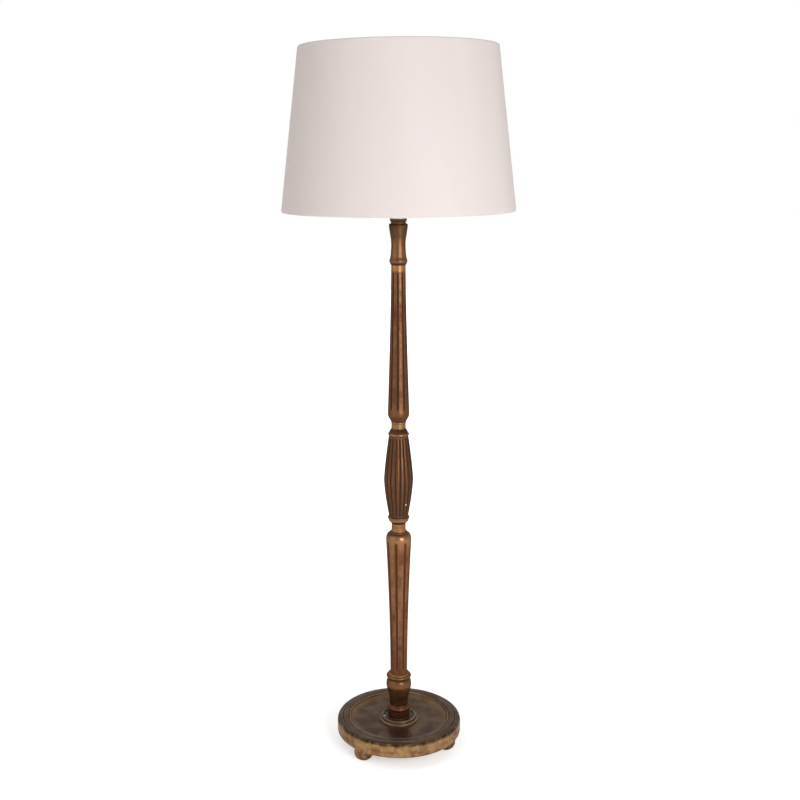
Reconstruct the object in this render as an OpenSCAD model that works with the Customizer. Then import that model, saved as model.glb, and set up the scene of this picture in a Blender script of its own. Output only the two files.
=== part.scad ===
// Candlestick floor lamp: a turned, fluted and reeded wooden column on a dished
// round base with three bun feet, a screw lampholder with a push-bar switch, and
// a tapered drum shade on a three-armed frame.
// Millimetres, +Z up. The origin is on the floor on the column's axis, and the
// front of the lamp faces -Y. Angles round the lamp start at the front and turn
// towards +X.

/* [Feet] */
// Height of a bun foot without its pad
foot_h = 32; // [24:0.5:42]
// Widest diameter of a bun foot
foot_d = 44; // [34:1:52]
// Diameter of a foot where it meets its pad
foot_sole_d = 26; // [20:1:32]
// Thickness of the felt pad
pad_t = 2; // [1:0.5:4]
// Distance of each foot's axis in from the base's rim
foot_inset = 30.5; // [27:0.5:36]
// Angle of the first foot from the front
foot_turn = -45; // [-60:1:-30]
// Diameter of the screw that holds a foot
foot_screw_d = 5; // [4:0.5:6]
// How far that screw reaches into the base
foot_screw_bite = 16; // [10:1:20]

/* [Base] */
// Diameter of the base
base_d = 287; // [284:1:320]
// Thickness of the base at its rim
base_t = 34; // [32:0.5:44]
// Radius of the rounded shoulder round the base's top
shoulder_r = 9; // [4:0.5:10]
// Radius of the base's lower edge
lower_edge_r = 3; // [1:0.5:5]
// Diameter of the raised ring on the rim, at its middle
rim_ring_d = 248; // [246:0.5:252]
// Width of the raised ring
rim_ring_w = 12; // [9:0.5:13]
// Height of the raised ring over the rim
rim_ring_rise = 1.6; // [1:0.1:3]
// Width and depth of the grooves beside the ring
rim_groove = 2; // [1:0.1:2.5]
// Diameter of the dish
dish_d = 228; // [220:1:230]
// Depth of the dish
dish_depth = 9; // [6:0.5:10]
// Width of the dish's curved wall
dish_wall_w = 20; // [12:1:30]

/* [Boss] */
// Diameter of the boss in the middle of the dish
boss_d = 90; // [84:1:110]
// Height of the boss's outer step
boss_step_h = 4; // [3:0.5:5]
// Height of the ledge that the column stands on
boss_h = 7.5; // [7:0.5:10]
// Diameter of the boss's inner bead, at its middle
boss_bead_d = 75; // [66:1:78]
// Radius of that bead
boss_bead_r = 2.4; // [1.5:0.1:3]

/* [Under the base] */
// Diameter of the recess for the weight
recess_d = 184; // [170:1:190]
// Depth of that recess
recess_depth = 12; // [10:0.5:13]
// Thickness of the weight
weight_t = 8; // [5:0.5:9]
// Diameter of the hole in the weight round the nut
weight_hole_d = 44; // [38:1:60]
// Distance of the weight's screws from the axis
weight_screw_r = 62; // [50:1:75]
// Width of the slot in the weight that the cord lies in
cord_slot_w = 12; // [10:0.5:16]
// Bore of the cord bush
cord_bore_d = 7; // [6:0.5:8]
// Length of the cord bush
bush_l = 16; // [10:1:24]
// Thickness of the bush's wall
bush_wall = 2.5; // [1.5:0.1:3]
// Height of the cord hole over the base's underside
cord_hole_h = 9; // [8.5:0.5:10]

/* [Lower urn] */
// Height of the urn section
urn_h = 110; // [100:0.5:140]
// Widest diameter of the urn
urn_d = 57.5; // [54:0.5:66]
// Diameter of the urn at its narrow foot
urn_foot_d = 42; // [38:0.5:46]
// Diameter of the plain collar under it
urn_collar_d = 49.4; // [46:0.2:56]
// Diameter of the bead over the collar
urn_bead_d = 52.6; // [48:0.2:58]
// Diameter of the ring on top of the urn section
urn_ring_d = 57; // [54:0.2:62]
// Height of the plain collar
urn_collar_h = 17; // [10:0.5:22]

/* [Lower shaft] */
// Height of the lower shaft
lower_shaft_h = 343; // [300:0.5:420]
// Diameter of the lower shaft at its shoulder
lower_shaft_top_d = 57.6; // [52:0.2:62]
// Diameter of the lower shaft at its foot
lower_shaft_foot_d = 38.6; // [36:0.2:46]
// How late the taper opens: 1 is a straight taper
lower_shaft_power = 1.8; // [1:0.05:2.5]
// Number of flutes on the lower shaft
lower_flutes = 8; // [6:1:12]
// Turn of the lower flutes from the front
lower_flute_turn = -12; // [-22:1:22]
// Height of the rounded shoulder
lower_shoulder_h = 18; // [12:0.5:24]

/* [Upper shaft] */
// Height of the upper shaft
upper_shaft_h = 346; // [300:0.5:420]
// Diameter of the upper shaft at its top
upper_shaft_top_d = 31; // [30:0.2:38]
// Diameter of the upper shaft at its widest
upper_shaft_foot_d = 48; // [42:0.2:54]
// How late the taper opens: 1 is a straight taper
upper_shaft_power = 1.35; // [1:0.05:2]
// Number of flutes on the upper shaft
upper_flutes = 9; // [6:1:12]
// Turn of the upper flutes from the front
upper_flute_turn = -5; // [-20:1:20]
// Height of the rounded foot of the upper shaft
upper_foot_h = 19; // [12:0.5:26]

/* [Flutes] */
// Share of the shaft's surface that the flutes take
flute_share = 0.33; // [0.2:0.01:0.45]
// Depth of a flute
flute_depth = 1.5; // [0.6:0.1:2]
// Plain band over and under the flutes
flute_margin = 11; // [6:0.5:20]

/* [Reeded belly] */
// Height of the belly
belly_h = 182; // [150:0.5:230]
// Widest diameter of the belly, over its reeds
belly_d = 66; // [60:0.5:74]
// Diameter at the belly's foot
belly_foot_d = 43.6; // [40:0.2:48]
// Diameter at the belly's top
belly_top_d = 44.6; // [40:0.2:48]
// How late the belly swells towards its foot: 1 is a straight cone
belly_foot_power = 1.48; // [1.2:0.02:2]
// How late the belly swells towards its top: 1 is a straight cone
belly_top_power = 1.32; // [1.2:0.02:2]
// Height of the widest point over the belly's foot
belly_wide_h = 84; // [70:1:100]
// Number of reeds
reeds = 18; // [14:1:22]
// Depth of the grooves between the reeds
reed_depth = 1.5; // [0.6:0.1:2]

/* [Necks] */
// Diameter of both necks
neck_d = 31.8; // [30:0.2:36]
// Height of the neck under the belly
lower_neck_h = 38.5; // [32:0.5:50]
// Diameter of the collar under the belly
lower_collar_d = 49; // [46:0.2:54]
// Height of the neck over the belly
upper_neck_h = 35; // [30:0.5:48]
// Diameter of the collar over the belly
upper_collar_d = 46.8; // [45:0.2:52]

/* [Vase] */
// Height of the vase at the column's top
vase_h = 91; // [80:0.5:120]
// Diameter of the vase under its top edge
vase_top_d = 40.8; // [38:0.2:46]
// Diameter of the vase at its waist
vase_waist_d = 31; // [30:0.2:34]
// Diameter of the bead at the vase's foot
vase_bead_d = 39; // [35:0.2:44]
// Diameter of the disc over the vase
disc_d = 37.6; // [36:0.2:44]
// Height of that disc
disc_h = 8; // [6:0.5:12]

/* [Joints of the column] */
// Diameter of the spigot between two sections
spigot_d = 20; // [18:0.5:21]
// Length of a spigot
spigot_l = 14; // [8:0.5:18]
// Radial gap round a spigot
spigot_gap = 0.1; // [0.05:0.05:0.3]
// Diameter of the threaded tube through the column
rod_d = 10; // [8:0.5:11]
// Bore of the threaded tube
rod_bore_d = 7; // [5:0.5:7.5]
// Radial gap between the tube and the wood
rod_gap = 0.3; // [0.2:0.05:0.6]
// Size of the tube's nuts across their flats
nut_flats = 17; // [15:0.5:18]
// Thickness of a nut
nut_t = 5; // [4:0.5:6]
// Diameter of the washer under the base
washer_d = 30; // [24:1:34]

/* [Lampholder] */
// Diameter of the lampholder's cap at its foot
cap_foot_d = 34; // [30:0.5:36]
// Diameter of the cap at its top
cap_d = 44; // [42:0.5:48]
// Height of the cap
cap_h = 34; // [32:0.5:40]
// Wall of the cap and the skirt
holder_wall = 2.5; // [2:0.1:3]
// Outer diameter of the threaded skirt
skirt_d = 40; // [39:0.2:41]
// Height of the skirt over its flange
skirt_h = 28; // [24:0.5:32]
// Diameter of the switch bar
bar_d = 6; // [5:0.2:7]
// Length of the switch bar
bar_l = 58; // [54:0.5:64]
// Travel of the switch bar
bar_travel = 6; // [4:0.5:7]
// Height of the switch bar over the cap's foot
bar_h = 23; // [21:0.5:24]
// Radial gap of the parts that move
run_gap = 0.08; // [0.02:0.01:0.1]
// Gap under a part that rests on another
seat_gap = 0.1; // [0.05:0.01:0.2]
// Outer diameter of the ring that clamps the shade
clamp_ring_d = 50; // [47:0.5:54]
// Height of that ring
clamp_ring_h = 8; // [6:0.5:10]

/* [Bulb] */
// Diameter of the bulb's glass
bulb_d = 60; // [50:1:70]
// Length of the bulb
bulb_l = 108; // [100:1:125]
// Diameter of the bulb's screw cap
bulb_cap_d = 26.2; // [25.8:0.1:26.6]
// Thickness of the glass
glass_t = 0.8; // [0.6:0.1:1.2]

/* [Shade] */
// Diameter of the shade at its bottom
shade_bottom_d = 500; // [420:1:560]
// Diameter of the shade at its top
shade_top_d = 418; // [340:1:480]
// Height of the shade
shade_h = 339; // [280:1:420]
// Thickness of the shade's fabric
fabric_t = 0.8; // [0.5:0.1:1.5]
// Thickness of the stiff liner behind it
liner_t = 0.6; // [0.4:0.1:1]
// Gap between the liner and the fabric, and between the liner and the hems
liner_gap = 0.3; // [0.1:0.05:0.5]
// Diameter of the shade's wire
wire_d = 4; // [3:0.2:5]
// Radius of the rolled hem round each wire
hem_r = 3.2; // [2.8:0.1:4]
// Rise of the shade's middle ring over the bottom wire
spider_rise = 18; // [10:1:40]
// Diameter of the middle ring
spider_d = 54; // [50:0.5:60]
// Thickness of the middle ring
spider_t = 1.6; // [1:0.1:2.5]

/* [Hidden] */
$fn = 96;

FEET = ["foot_front_left", "foot_right", "foot_back"];
PADS = ["pad_front_left", "pad_right", "pad_back"];

// The finishes, as the photograph shows them
gilt = [0.55, 0.38, 0.22];
dark_gilt = [0.36, 0.26, 0.18];
steel = [0.62, 0.63, 0.65];
brass = [0.78, 0.62, 0.32];
cream = [0.93, 0.9, 0.83];

// Small round numbers that more than one piece shares
small_fn = 32;
lap = 0.01;              // how far joined shapes run into each other
third = 120;             // angle between the three feet, screws or arms of a set

// Heights of the pieces over the floor, and the circle that the feet stand on
foot_circle_r = base_d / 2 - foot_inset;
base_z = pad_t + foot_h;
dish_z = base_z + base_t - dish_depth;
urn_z = dish_z + boss_h;
lower_shaft_z = urn_z + urn_h;
lower_neck_z = lower_shaft_z + lower_shaft_h;
belly_z = lower_neck_z + lower_neck_h;
upper_neck_z = belly_z + belly_h;
upper_shaft_z = upper_neck_z + upper_neck_h;
vase_z = upper_shaft_z + upper_shaft_h;
disc_z = vase_z + vase_h;
cap_z = disc_z + disc_h;
flange_z = cap_z + cap_h;

// The threaded tube, its nuts and the recess in the base
rod_r = rod_d / 2;
rod_hole_r = rod_r + rod_gap;
washer_t = 2;
recess_z = base_z + recess_depth;
rod_z = base_z + 3;
rod_top_z = cap_z + 11;
nut_r = nut_flats / 2 / cos(30);
top_nut_pocket = nut_t + 1;

// The column's foot tenon, which goes through the boss into the base
tenon_r = 12;
tenon_l = boss_h + 9;

// The lampholder and what screws into it
flange_t = 2;
skirt_r = skirt_d / 2;
skirt_bore_r = skirt_r - holder_wall;
insert_rise = 8;
insert_top_z = flange_z + insert_rise;
shell_wall = 0.5;
bulb_cap_r = bulb_cap_d / 2;
shell_bore_r = bulb_cap_r + 0.1;
contact_t = 0.6;
contact_rise = 2.6;
tip_h = 1.4;
insulator_h = 2.6;
bulb_cap_h = 22;
tip_z = insert_top_z + contact_rise + seat_gap;
insulator_z = tip_z + tip_h;
bulb_cap_z = insulator_z + insulator_h;
glass_z = bulb_cap_z + bulb_cap_h;
bulb_r = bulb_d / 2;
bulb_ball_z = tip_z + bulb_l - bulb_r;

// The shade, hung from the ring that rests on the skirt's flange
spider_z = flange_z + flange_t + seat_gap;
wire_r = wire_d / 2;
bottom_wire_z = spider_z + spider_t / 2 - spider_rise;
shade_z = bottom_wire_z - hem_r;
shade_top_z = shade_z + shade_h;
top_wire_z = shade_top_z - hem_r;
shade_slope = (shade_bottom_d - shade_top_d) / 2 / shade_h;
function shade_r(z) = shade_bottom_d / 2 - (z - shade_z) * shade_slope;

// Points of an elliptical arc round [cr, cz], from angle a to angle b
function arc(cr, cz, rr, rz, a, b, n = 10) =
    [for (i = [0:n]) [cr + rr * cos(a + (b - a) * i / n), cz + rz * sin(a + (b - a) * i / n)]];

// A value that runs from a to b as t runs from 0 to 1, bent by the power
function bend(a, b, t, power) = a + (b - a) * pow(max(0, min(1, t)), power);

// A smooth curve through stations [radius, height], with its own end stations
function station_curve(p, n = 5) = [
    for (i = [0:len(p) - 2])
        let (a = p[max(0, i - 1)], b = p[i], c = p[i + 1], d = p[min(len(p) - 1, i + 2)])
            for (k = [0:n - 1])
                let (t = k / n)
                    0.5 * (2 * b + (c - a) * t + (2 * a - 5 * b + 4 * c - d) * t * t
                        + (3 * b - a - 3 * c + d) * t * t * t),
    p[len(p) - 1]
];

// The place of something at radius r and angle a from the front
module at_angle(r, a, z = 0) {
    rotate([0, 0, a]) translate([0, -r, z]) children();
}

// A solid turned from an outline of [radius, height] points, closed on the axis
module turned(outline) {
    first = outline[0];
    last = outline[len(outline) - 1];
    rotate_extrude()
        polygon(concat([[0, first[1]]], outline, [[0, last[1]]]));
}

// The hole for the threaded tube, through a piece of height h and the tail under it
module rod_hole(h, tail = 0) {
    translate([0, 0, -tail - 1]) cylinder(r = rod_hole_r, h = tail + h + 2, $fn = 48);
}

// The socket in a section's foot for the spigot under it
module socket() {
    translate([0, 0, -1]) cylinder(r = spigot_d / 2 + spigot_gap, h = spigot_l + 2, $fn = 48);
}

// The spigot on top of a section
module spigot(h) {
    translate([0, 0, h - lap]) cylinder(r = spigot_d / 2, h = spigot_l + lap, $fn = 48);
}

// A column section: its shape, a spigot on top, a socket in its foot or a tail
// under it, and the hole for the tube
module column_section(h, has_spigot = true, has_socket = true, tail = 0) {
    difference() {
        union() {
            children();
            if (has_spigot) spigot(h);
        }
        rod_hole(h + spigot_l, tail);
        if (has_socket) socket();
    }
}

// A closed skin over rings of points, from the lowest ring to the highest; all
// of them have the same number of points
module skin(rings) {
    n = len(rings[0]);
    m = len(rings);
    points = [for (ring = rings) for (p = ring) p];
    sides = [
        for (j = [0:m - 2]) for (i = [0:n - 1])
            let (a = j * n + i, b = j * n + (i + 1) % n)
                each [[a, a + n, b + n], [a, b + n, b]]
    ];
    foot = [for (i = [0:n - 1]) i];
    top = [for (i = [n - 1:-1:0]) (m - 1) * n + i];
    polyhedron(concat(points, [[0, 0, rings[0][0][2]], [0, 0, rings[m - 1][0][2]]]),
        concat(sides,
            [for (i = [0:n - 1]) [n * m, foot[i], foot[(i + 1) % n]]],
            [for (i = [0:n - 1]) [n * m + 1, top[i], top[(i + 1) % n]]]));
}

// Depth of a flute at height z between z0 and z1, with rounded ends
function flute_fade(z, z0, z1, run) =
    let (e = min(z - z0, z1 - z) / run)
        e <= 0 ? 0 : e >= 1 ? 1 : sqrt(1 - (1 - e) * (1 - e));

// One ring of a fluted shaft: five points across each flute, one on each land
function fluted_ring(r, z, depth, count, turn) = [
    for (k = [0:count - 1], u = [-1, -0.55, 0, 0.55, 1, 1 / flute_share])
        let (a = turn + 360 / count * (k + u * flute_share / 2),
             q = r - depth * max(0, 1 - u * u))
            [q * sin(a), -q * cos(a), z]
];

// One ring of the reeded belly: each reed is round, with a sharp groove beside it
function reeded_ring(r, z, depth, turn) = [
    for (k = [0:reeds - 1], u = [-1, -0.75, -0.3, 0.3, 0.75])
        let (a = turn + 360 / reeds * (k + u / 2), q = r - depth * pow(abs(u), 2.5))
            [q * sin(a), -q * cos(a), z]
];

// Heights from z0 to z1 in n steps
function steps(z0, z1, n) = [for (i = [0:n]) z0 + (z1 - z0) * i / n];

// Heights for a flute between z0 and z1, close together where its ends round off
function flute_levels(z0, z1, run) = concat(
    [for (a = [0, 30, 55, 75]) z0 + run * (1 - cos(a))],
    steps(z0 + run, z1 - run, 10),
    [for (a = [75, 55, 30, 0]) z1 - run * (1 - cos(a))]);

// ---- Feet ----

foot_fall = 4;           // collar at the top of a foot
screw_head_d = foot_screw_d * 1.9;
screw_head_h = 3;
foot_recess = 5;         // how deep the screw's head lies in the foot

module bun_foot(i) {
    outline = concat(
        [[foot_sole_d / 2, 0]],
        arc(foot_sole_d / 2, foot_h * 0.45, (foot_d - foot_sole_d) / 2, foot_h * 0.45, -75, 68, 12),
        [[foot_d / 2 - 4, foot_h - foot_fall], [foot_d / 2 - 2, foot_h - foot_fall + 0.8],
         [foot_d / 2 - 2, foot_h]]);
    color(gilt)
        at_angle(foot_circle_r, foot_turn + third * i, pad_t) difference() {
            turned(outline);
            translate([0, 0, -1]) cylinder(r = foot_screw_d / 2 + 0.2, h = foot_h + 2, $fn = small_fn);
            translate([0, 0, -1]) cylinder(r = screw_head_d / 2 + 0.4, h = foot_recess + 1, $fn = small_fn);
        }
}

module foot_pad(i) {
    color([0.16, 0.14, 0.12])
        at_angle(foot_circle_r, foot_turn + third * i) cylinder(d = foot_sole_d - 1, h = pad_t, $fn = 48);
}

module foot_screws() {
    head_z = pad_t + foot_recess - screw_head_h;
    color(steel)
        for (i = [0:2]) at_angle(foot_circle_r, foot_turn + third * i, head_z) {
            cylinder(d = screw_head_d, h = screw_head_h, $fn = small_fn);
            cylinder(d = foot_screw_d, h = base_z - head_z + foot_screw_bite, $fn = small_fn);
        }
}

// ---- Base ----

bush_r = cord_bore_d / 2 + bush_wall;
bush_flange_t = 2;
bush_flange_r = bush_r + 2.5;
weight_screw_d = 5;
weight_screw_bite = 8;

// Outline of the dished base, from its underside round the rim into the dish
function base_outline() =
    let (r = base_d / 2, ring_r = rim_ring_d / 2, half = rim_ring_w / 2, g = rim_groove, dish_r = dish_d / 2)
    concat(
        arc(r - lower_edge_r, lower_edge_r, lower_edge_r, lower_edge_r, -90, 0, 4),
        arc(r - shoulder_r, base_t - shoulder_r, shoulder_r, shoulder_r, 0, 90, 8),
        [[ring_r + half + g, base_t], [ring_r + half, base_t - g]],
        arc(ring_r, base_t - g / 2, half, rim_ring_rise + g / 2, 0, 180, 12),
        [[ring_r - half, base_t - g]],
        arc(dish_r + 1, base_t - 1, 1.4, 1, 60, 180, 4),
        arc(dish_r - dish_wall_w, base_t - 1.4, dish_wall_w - 0.6, dish_depth - 1.4, 0, -90, 10),
        [[0, base_t - dish_depth]]);

module base_disc() {
    color(dark_gilt)
        difference() {
            translate([0, 0, base_z]) turned(base_outline());
            translate([0, 0, base_z - 1]) cylinder(d = recess_d, h = recess_depth + 1);
            translate([0, 0, base_z]) rod_hole(base_t);
            translate([0, 0, urn_z - tenon_l - 0.5]) cylinder(r = tenon_r + spigot_gap, h = base_t, $fn = 48);
            for (i = [0:2]) at_angle(foot_circle_r, foot_turn + third * i, base_z - 1)
                cylinder(d = foot_screw_d + 0.2, h = foot_screw_bite + 2, $fn = small_fn);
            for (i = [0:2]) at_angle(weight_screw_r, third * i, recess_z - 1)
                cylinder(d = weight_screw_d + 0.2, h = weight_screw_bite + 2, $fn = small_fn);
            cord_hole(bush_r + spigot_gap, recess_d / 2 - 2);
            cord_hole(bush_flange_r + spigot_gap, base_d / 2 - bush_flange_t - 0.5);
        }
}

// A hole of radius r from distance y0 behind the axis out through the back
module cord_hole(r, y0) {
    translate([0, y0, base_z + cord_hole_h]) rotate([-90, 0, 0])
        cylinder(r = r, h = base_d / 2 - y0 + 1, $fn = 48);
}

module base_boss() {
    bead = boss_bead_d / 2;
    r = boss_d / 2;
    outline = concat(
        [[r, 0]],
        arc(r - 1.6, boss_step_h - 1.6, 1.6, 1.6, 0, 90, 5),
        arc(r - 2.4, boss_h - 0.5, r - 2.4 - bead - boss_bead_r, boss_h - 0.5 - boss_step_h, -90, -180, 6),
        arc(bead, boss_h, boss_bead_r, boss_bead_r, 0, 180, 10),
        [[0, boss_h]]);
    color(dark_gilt)
        translate([0, 0, dish_z]) difference() {
            turned(outline);
            translate([0, 0, -1]) cylinder(r = tenon_r + spigot_gap, h = boss_h + 4, $fn = 48);
        }
}

module weight_plate() {
    color([0.22, 0.22, 0.23])
        translate([0, 0, recess_z - weight_t]) difference() {
            cylinder(d = recess_d - 3, h = weight_t);
            translate([0, 0, -1]) cylinder(d = weight_hole_d, h = weight_t + 2);
            translate([-cord_slot_w / 2, 0, -1]) cube([cord_slot_w, recess_d, weight_t + 2]);
            for (i = [0:2]) at_angle(weight_screw_r, third * i, -1)
                cylinder(d = weight_screw_d + 0.4, h = weight_t + 2, $fn = small_fn);
        }
}

module weight_screws() {
    head_h = 2.5;
    color(steel)
        for (i = [0:2]) at_angle(weight_screw_r, third * i, recess_z - weight_t - head_h) {
            cylinder(d = weight_screw_d * 1.9, h = head_h, $fn = small_fn);
            cylinder(d = weight_screw_d, h = head_h + weight_t + weight_screw_bite, $fn = small_fn);
        }
}

// The bush that the cord leaves by, set in the back of the base
module cord_bush() {
    back_y = base_d / 2 - 0.5;
    color([0.1, 0.1, 0.1])
        translate([0, back_y, base_z + cord_hole_h]) rotate([90, 0, 0]) difference() {
            union() {
                cylinder(r = bush_flange_r, h = bush_flange_t, $fn = 48);
                cylinder(r = bush_r, h = bush_l, $fn = 48);
            }
            translate([0, 0, -1]) cylinder(d = cord_bore_d, h = bush_l + 2, $fn = 48);
        }
}

// ---- Tube that pulls the column together ----

module threaded_tube() {
    color(steel)
        translate([0, 0, rod_z]) difference() {
            cylinder(d = rod_d, h = rod_top_z - rod_z, $fn = 48);
            translate([0, 0, -1]) cylinder(d = rod_bore_d, h = rod_top_z - rod_z + 2, $fn = 48);
        }
}

module bottom_washer() {
    color(steel)
        translate([0, 0, recess_z - washer_t]) difference() {
            cylinder(d = washer_d, h = washer_t, $fn = 48);
            translate([0, 0, -1]) cylinder(r = rod_hole_r, h = washer_t + 2, $fn = 48);
        }
}

module hex_nut() {
    difference() {
        cylinder(r = nut_r, h = nut_t, $fn = 6);
        translate([0, 0, -1]) cylinder(r = rod_r + 0.02, h = nut_t + 2, $fn = 48);
    }
}

module bottom_nut() {
    color(steel) translate([0, 0, recess_z - washer_t - nut_t]) hex_nut();
}

module top_nut() {
    color(steel) translate([0, 0, disc_z - top_nut_pocket]) hex_nut();
}

// ---- Column, from the foot up ----

// Outline of the urn section: collar, bead, urn, groove, round ring and a small ovolo on top
function urn_outline() =
    let (bead_h = 10, foot_h = 3, ovolo_h = 4.7, ring_h = 8, groove_h = 3,
         ring_z = urn_h - ovolo_h - ring_h, body_z = urn_collar_h + bead_h + foot_h,
         body_h = ring_z - groove_h - body_z, groove_r = urn_d / 2 - 3.4,
         foot_r = urn_foot_d / 2, shaft_r = lower_shaft_foot_d / 2)
    concat(
        [[urn_collar_d / 2, 0], [urn_collar_d / 2, urn_collar_h]],
        arc(foot_r + 2, urn_collar_h + bead_h / 2, urn_bead_d / 2 - foot_r - 2, bead_h / 2, -80, 90, 10),
        station_curve([
            [foot_r, body_z],
            [bend(urn_foot_d, urn_d, 0.13, 1) / 2, body_z + body_h * 0.24],
            [bend(urn_foot_d, urn_d, 0.52, 1) / 2, body_z + body_h * 0.48],
            [urn_d / 2, body_z + body_h * 0.74],
            [urn_d / 2 - 0.9, body_z + body_h * 0.92],
            [groove_r, ring_z - groove_h]]),
        [[groove_r, ring_z]],
        arc(urn_ring_d / 2 - ring_h / 2, ring_z + ring_h / 2, ring_h / 2, ring_h / 2, -75, 75, 10),
        [[urn_ring_d / 2 - 3.6, ring_z + ring_h]],
        arc(shaft_r, ring_z + ring_h, urn_ring_d / 2 - 3.4 - shaft_r, ovolo_h, 12, 90, 8));

module lower_urn() {
    color(gilt)
        translate([0, 0, urn_z]) column_section(urn_h, has_socket = false, tail = tenon_l) {
            turned(urn_outline());
            translate([0, 0, -tenon_l]) cylinder(r = tenon_r, h = tenon_l + lap, $fn = 48);
        }
}

// One ring of a shaft of radius r whose flutes run from height z0 to z1
function shaft_ring(r, z, z0, z1, count, turn) =
    fluted_ring(r, z, flute_depth * flute_fade(z, z0, z1, flute_margin), count, turn);

function lower_shaft_r(z) =
    bend(lower_shaft_foot_d, lower_shaft_top_d, z / (lower_shaft_h - lower_shoulder_h), lower_shaft_power) / 2;

module lower_shaft() {
    shoulder_z = lower_shaft_h - lower_shoulder_h;
    wide_r = lower_shaft_top_d / 2;
    shoulder_in = wide_r - 7.5;
    bead_r = 2.2;
    groove_w = 0.5;
    flute_z0 = flute_margin * 0.8;
    flute_z1 = shoulder_z - flute_margin * 0.2;
    levels = concat([0], flute_levels(flute_z0, flute_z1, flute_margin), [shoulder_z]);
    color(gilt)
        translate([0, 0, lower_shaft_z]) column_section(lower_shaft_h) {
            skin([for (z = levels) shaft_ring(lower_shaft_r(z), z, flute_z0, flute_z1,
                                              lower_flutes, lower_flute_turn)]);
            translate([0, 0, shoulder_z - lap]) turned(concat(
                arc(shoulder_in, 0, wide_r - shoulder_in, lower_shoulder_h - 3, 0, 90, 10),
                [[shoulder_in - groove_w, lower_shoulder_h - 3 - 2 * groove_w]],
                arc(shoulder_in - groove_w - bead_r, lower_shoulder_h - bead_r, bead_r, bead_r, 0, 90, 6)));
        }
}

// Outline of the neck under the belly, with its collar on top
function lower_neck_outline() =
    let (r = neck_d / 2, bead_r = 3.2, flare_h = 10, lip_h = 1.5, collar_r = lower_collar_d / 2,
         bead_z = lower_neck_h - lip_h - 2 * bead_r, flare_z = bead_z - flare_h)
    concat(
        station_curve([[r + 0.6, 0], [r, flare_z * 0.6], [r + 0.2, flare_z]], 4),
        station_curve([
            [r + 0.5, flare_z + 0.4],
            [bend(r, collar_r, 0.38, 1), flare_z + flare_h * 0.25],
            [bend(r, collar_r, 0.72, 1), flare_z + flare_h * 0.6],
            [collar_r - 1, bead_z + 0.8]], 4),
        arc(collar_r - bead_r, bead_z + bead_r, bead_r, bead_r, -30, 75, 10),
        [[collar_r - 2.4, lower_neck_h - lip_h], [collar_r - 2.4, lower_neck_h]]);

module lower_neck() {
    color(gilt)
        translate([0, 0, lower_neck_z]) column_section(lower_neck_h) turned(lower_neck_outline());
}

function belly_r(z) = z < belly_wide_h
    ? bend(belly_d, belly_foot_d, (belly_wide_h - z) / belly_wide_h, belly_foot_power) / 2
    : bend(belly_d, belly_top_d, (z - belly_wide_h) / (belly_h - belly_wide_h), belly_top_power) / 2;

module reeded_belly() {
    plain = 2;
    reed_turn = -3;
    levels = concat([0], steps(plain, belly_h - plain, 20), [belly_h]);
    color(gilt)
        translate([0, 0, belly_z]) column_section(belly_h)
            skin([for (z = levels)
                reeded_ring(belly_r(z), z, reed_depth * flute_fade(z, 0, belly_h, plain), reed_turn)]);
}

// Outline of the neck over the belly: a lip, a collar, a dished cone and the neck
function upper_neck_outline() =
    let (r = neck_d / 2, lip_h = 2.5, bead_h = 8, cone_z = lip_h + bead_h, cone_h = 8.5,
         collar_r = upper_collar_d / 2, fillet = 1.5)
    concat(
        [[collar_r - 1.8, 0], [collar_r - 1.6, lip_h]],
        arc(collar_r - bead_h / 2, lip_h + bead_h / 2, bead_h / 2, bead_h / 2, -60, 60, 8),
        station_curve([
            [collar_r - 2, cone_z],
            [bend(r, collar_r, 0.45, 1), cone_z + cone_h * 0.5],
            [r + 0.6, cone_z + cone_h],
            [r, cone_z + cone_h + 2]], 4),
        [[r, upper_neck_h - 2 * fillet]],
        arc(r, upper_neck_h - fillet, 0.9, fillet, -90, 90, 4));

module upper_neck() {
    color(gilt)
        translate([0, 0, upper_neck_z]) column_section(upper_neck_h) turned(upper_neck_outline());
}

function upper_shaft_r(z) =
    bend(upper_shaft_top_d, upper_shaft_foot_d,
        (upper_shaft_h - z) / (upper_shaft_h - upper_foot_h), upper_shaft_power) / 2;

module upper_shaft() {
    wide_r = upper_shaft_foot_d / 2;
    flute_z0 = upper_foot_h + flute_margin * 0.75;
    flute_z1 = upper_shaft_h - flute_margin * 1.25;
    levels = concat([upper_foot_h], flute_levels(flute_z0, flute_z1, flute_margin), [upper_shaft_h]);
    color(gilt)
        translate([0, 0, upper_shaft_z]) column_section(upper_shaft_h) {
            skin([for (z = levels) shaft_ring(upper_shaft_r(z), z, flute_z0, flute_z1,
                                              upper_flutes, upper_flute_turn)]);
            turned(concat(
                [[neck_d / 2 + 0.4, 0]],
                station_curve([
                    [neck_d / 2 + 1, 0.6],
                    [wide_r - 3, upper_foot_h * 0.42],
                    [wide_r - 0.5, upper_foot_h * 0.72],
                    [wide_r, upper_foot_h + lap]], 5)));
        }
}

// Outline of the vase: a bead at its foot, a long waist and a rounded top edge
function vase_outline() =
    let (r = upper_shaft_top_d / 2, bead_z = 9.5, top_z = vase_h - 7)
    concat(
        [[r - 0.2, 0], [r - 0.2, 0.8], [r + 1.4, 1.4]],
        station_curve([
            [vase_bead_d / 2 - 1.4, 4.5],
            [vase_bead_d / 2, bead_z],
            [vase_bead_d / 2 - 2.4, bead_z + vase_h * 0.1],
            [vase_waist_d / 2 + 0.4, vase_h * 0.36],
            [vase_waist_d / 2, vase_h * 0.47],
            [vase_waist_d / 2 + 0.6, vase_h * 0.6],
            [vase_top_d / 2 - 2, vase_h * 0.76],
            [vase_top_d / 2, top_z]]),
        arc(vase_top_d / 2 - 3.5, top_z + 1, 3.5, 4, 0, 90, 6),
        [[disc_d / 2 - 3, top_z + 5], [disc_d / 2 - 3, vase_h]]);

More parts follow.
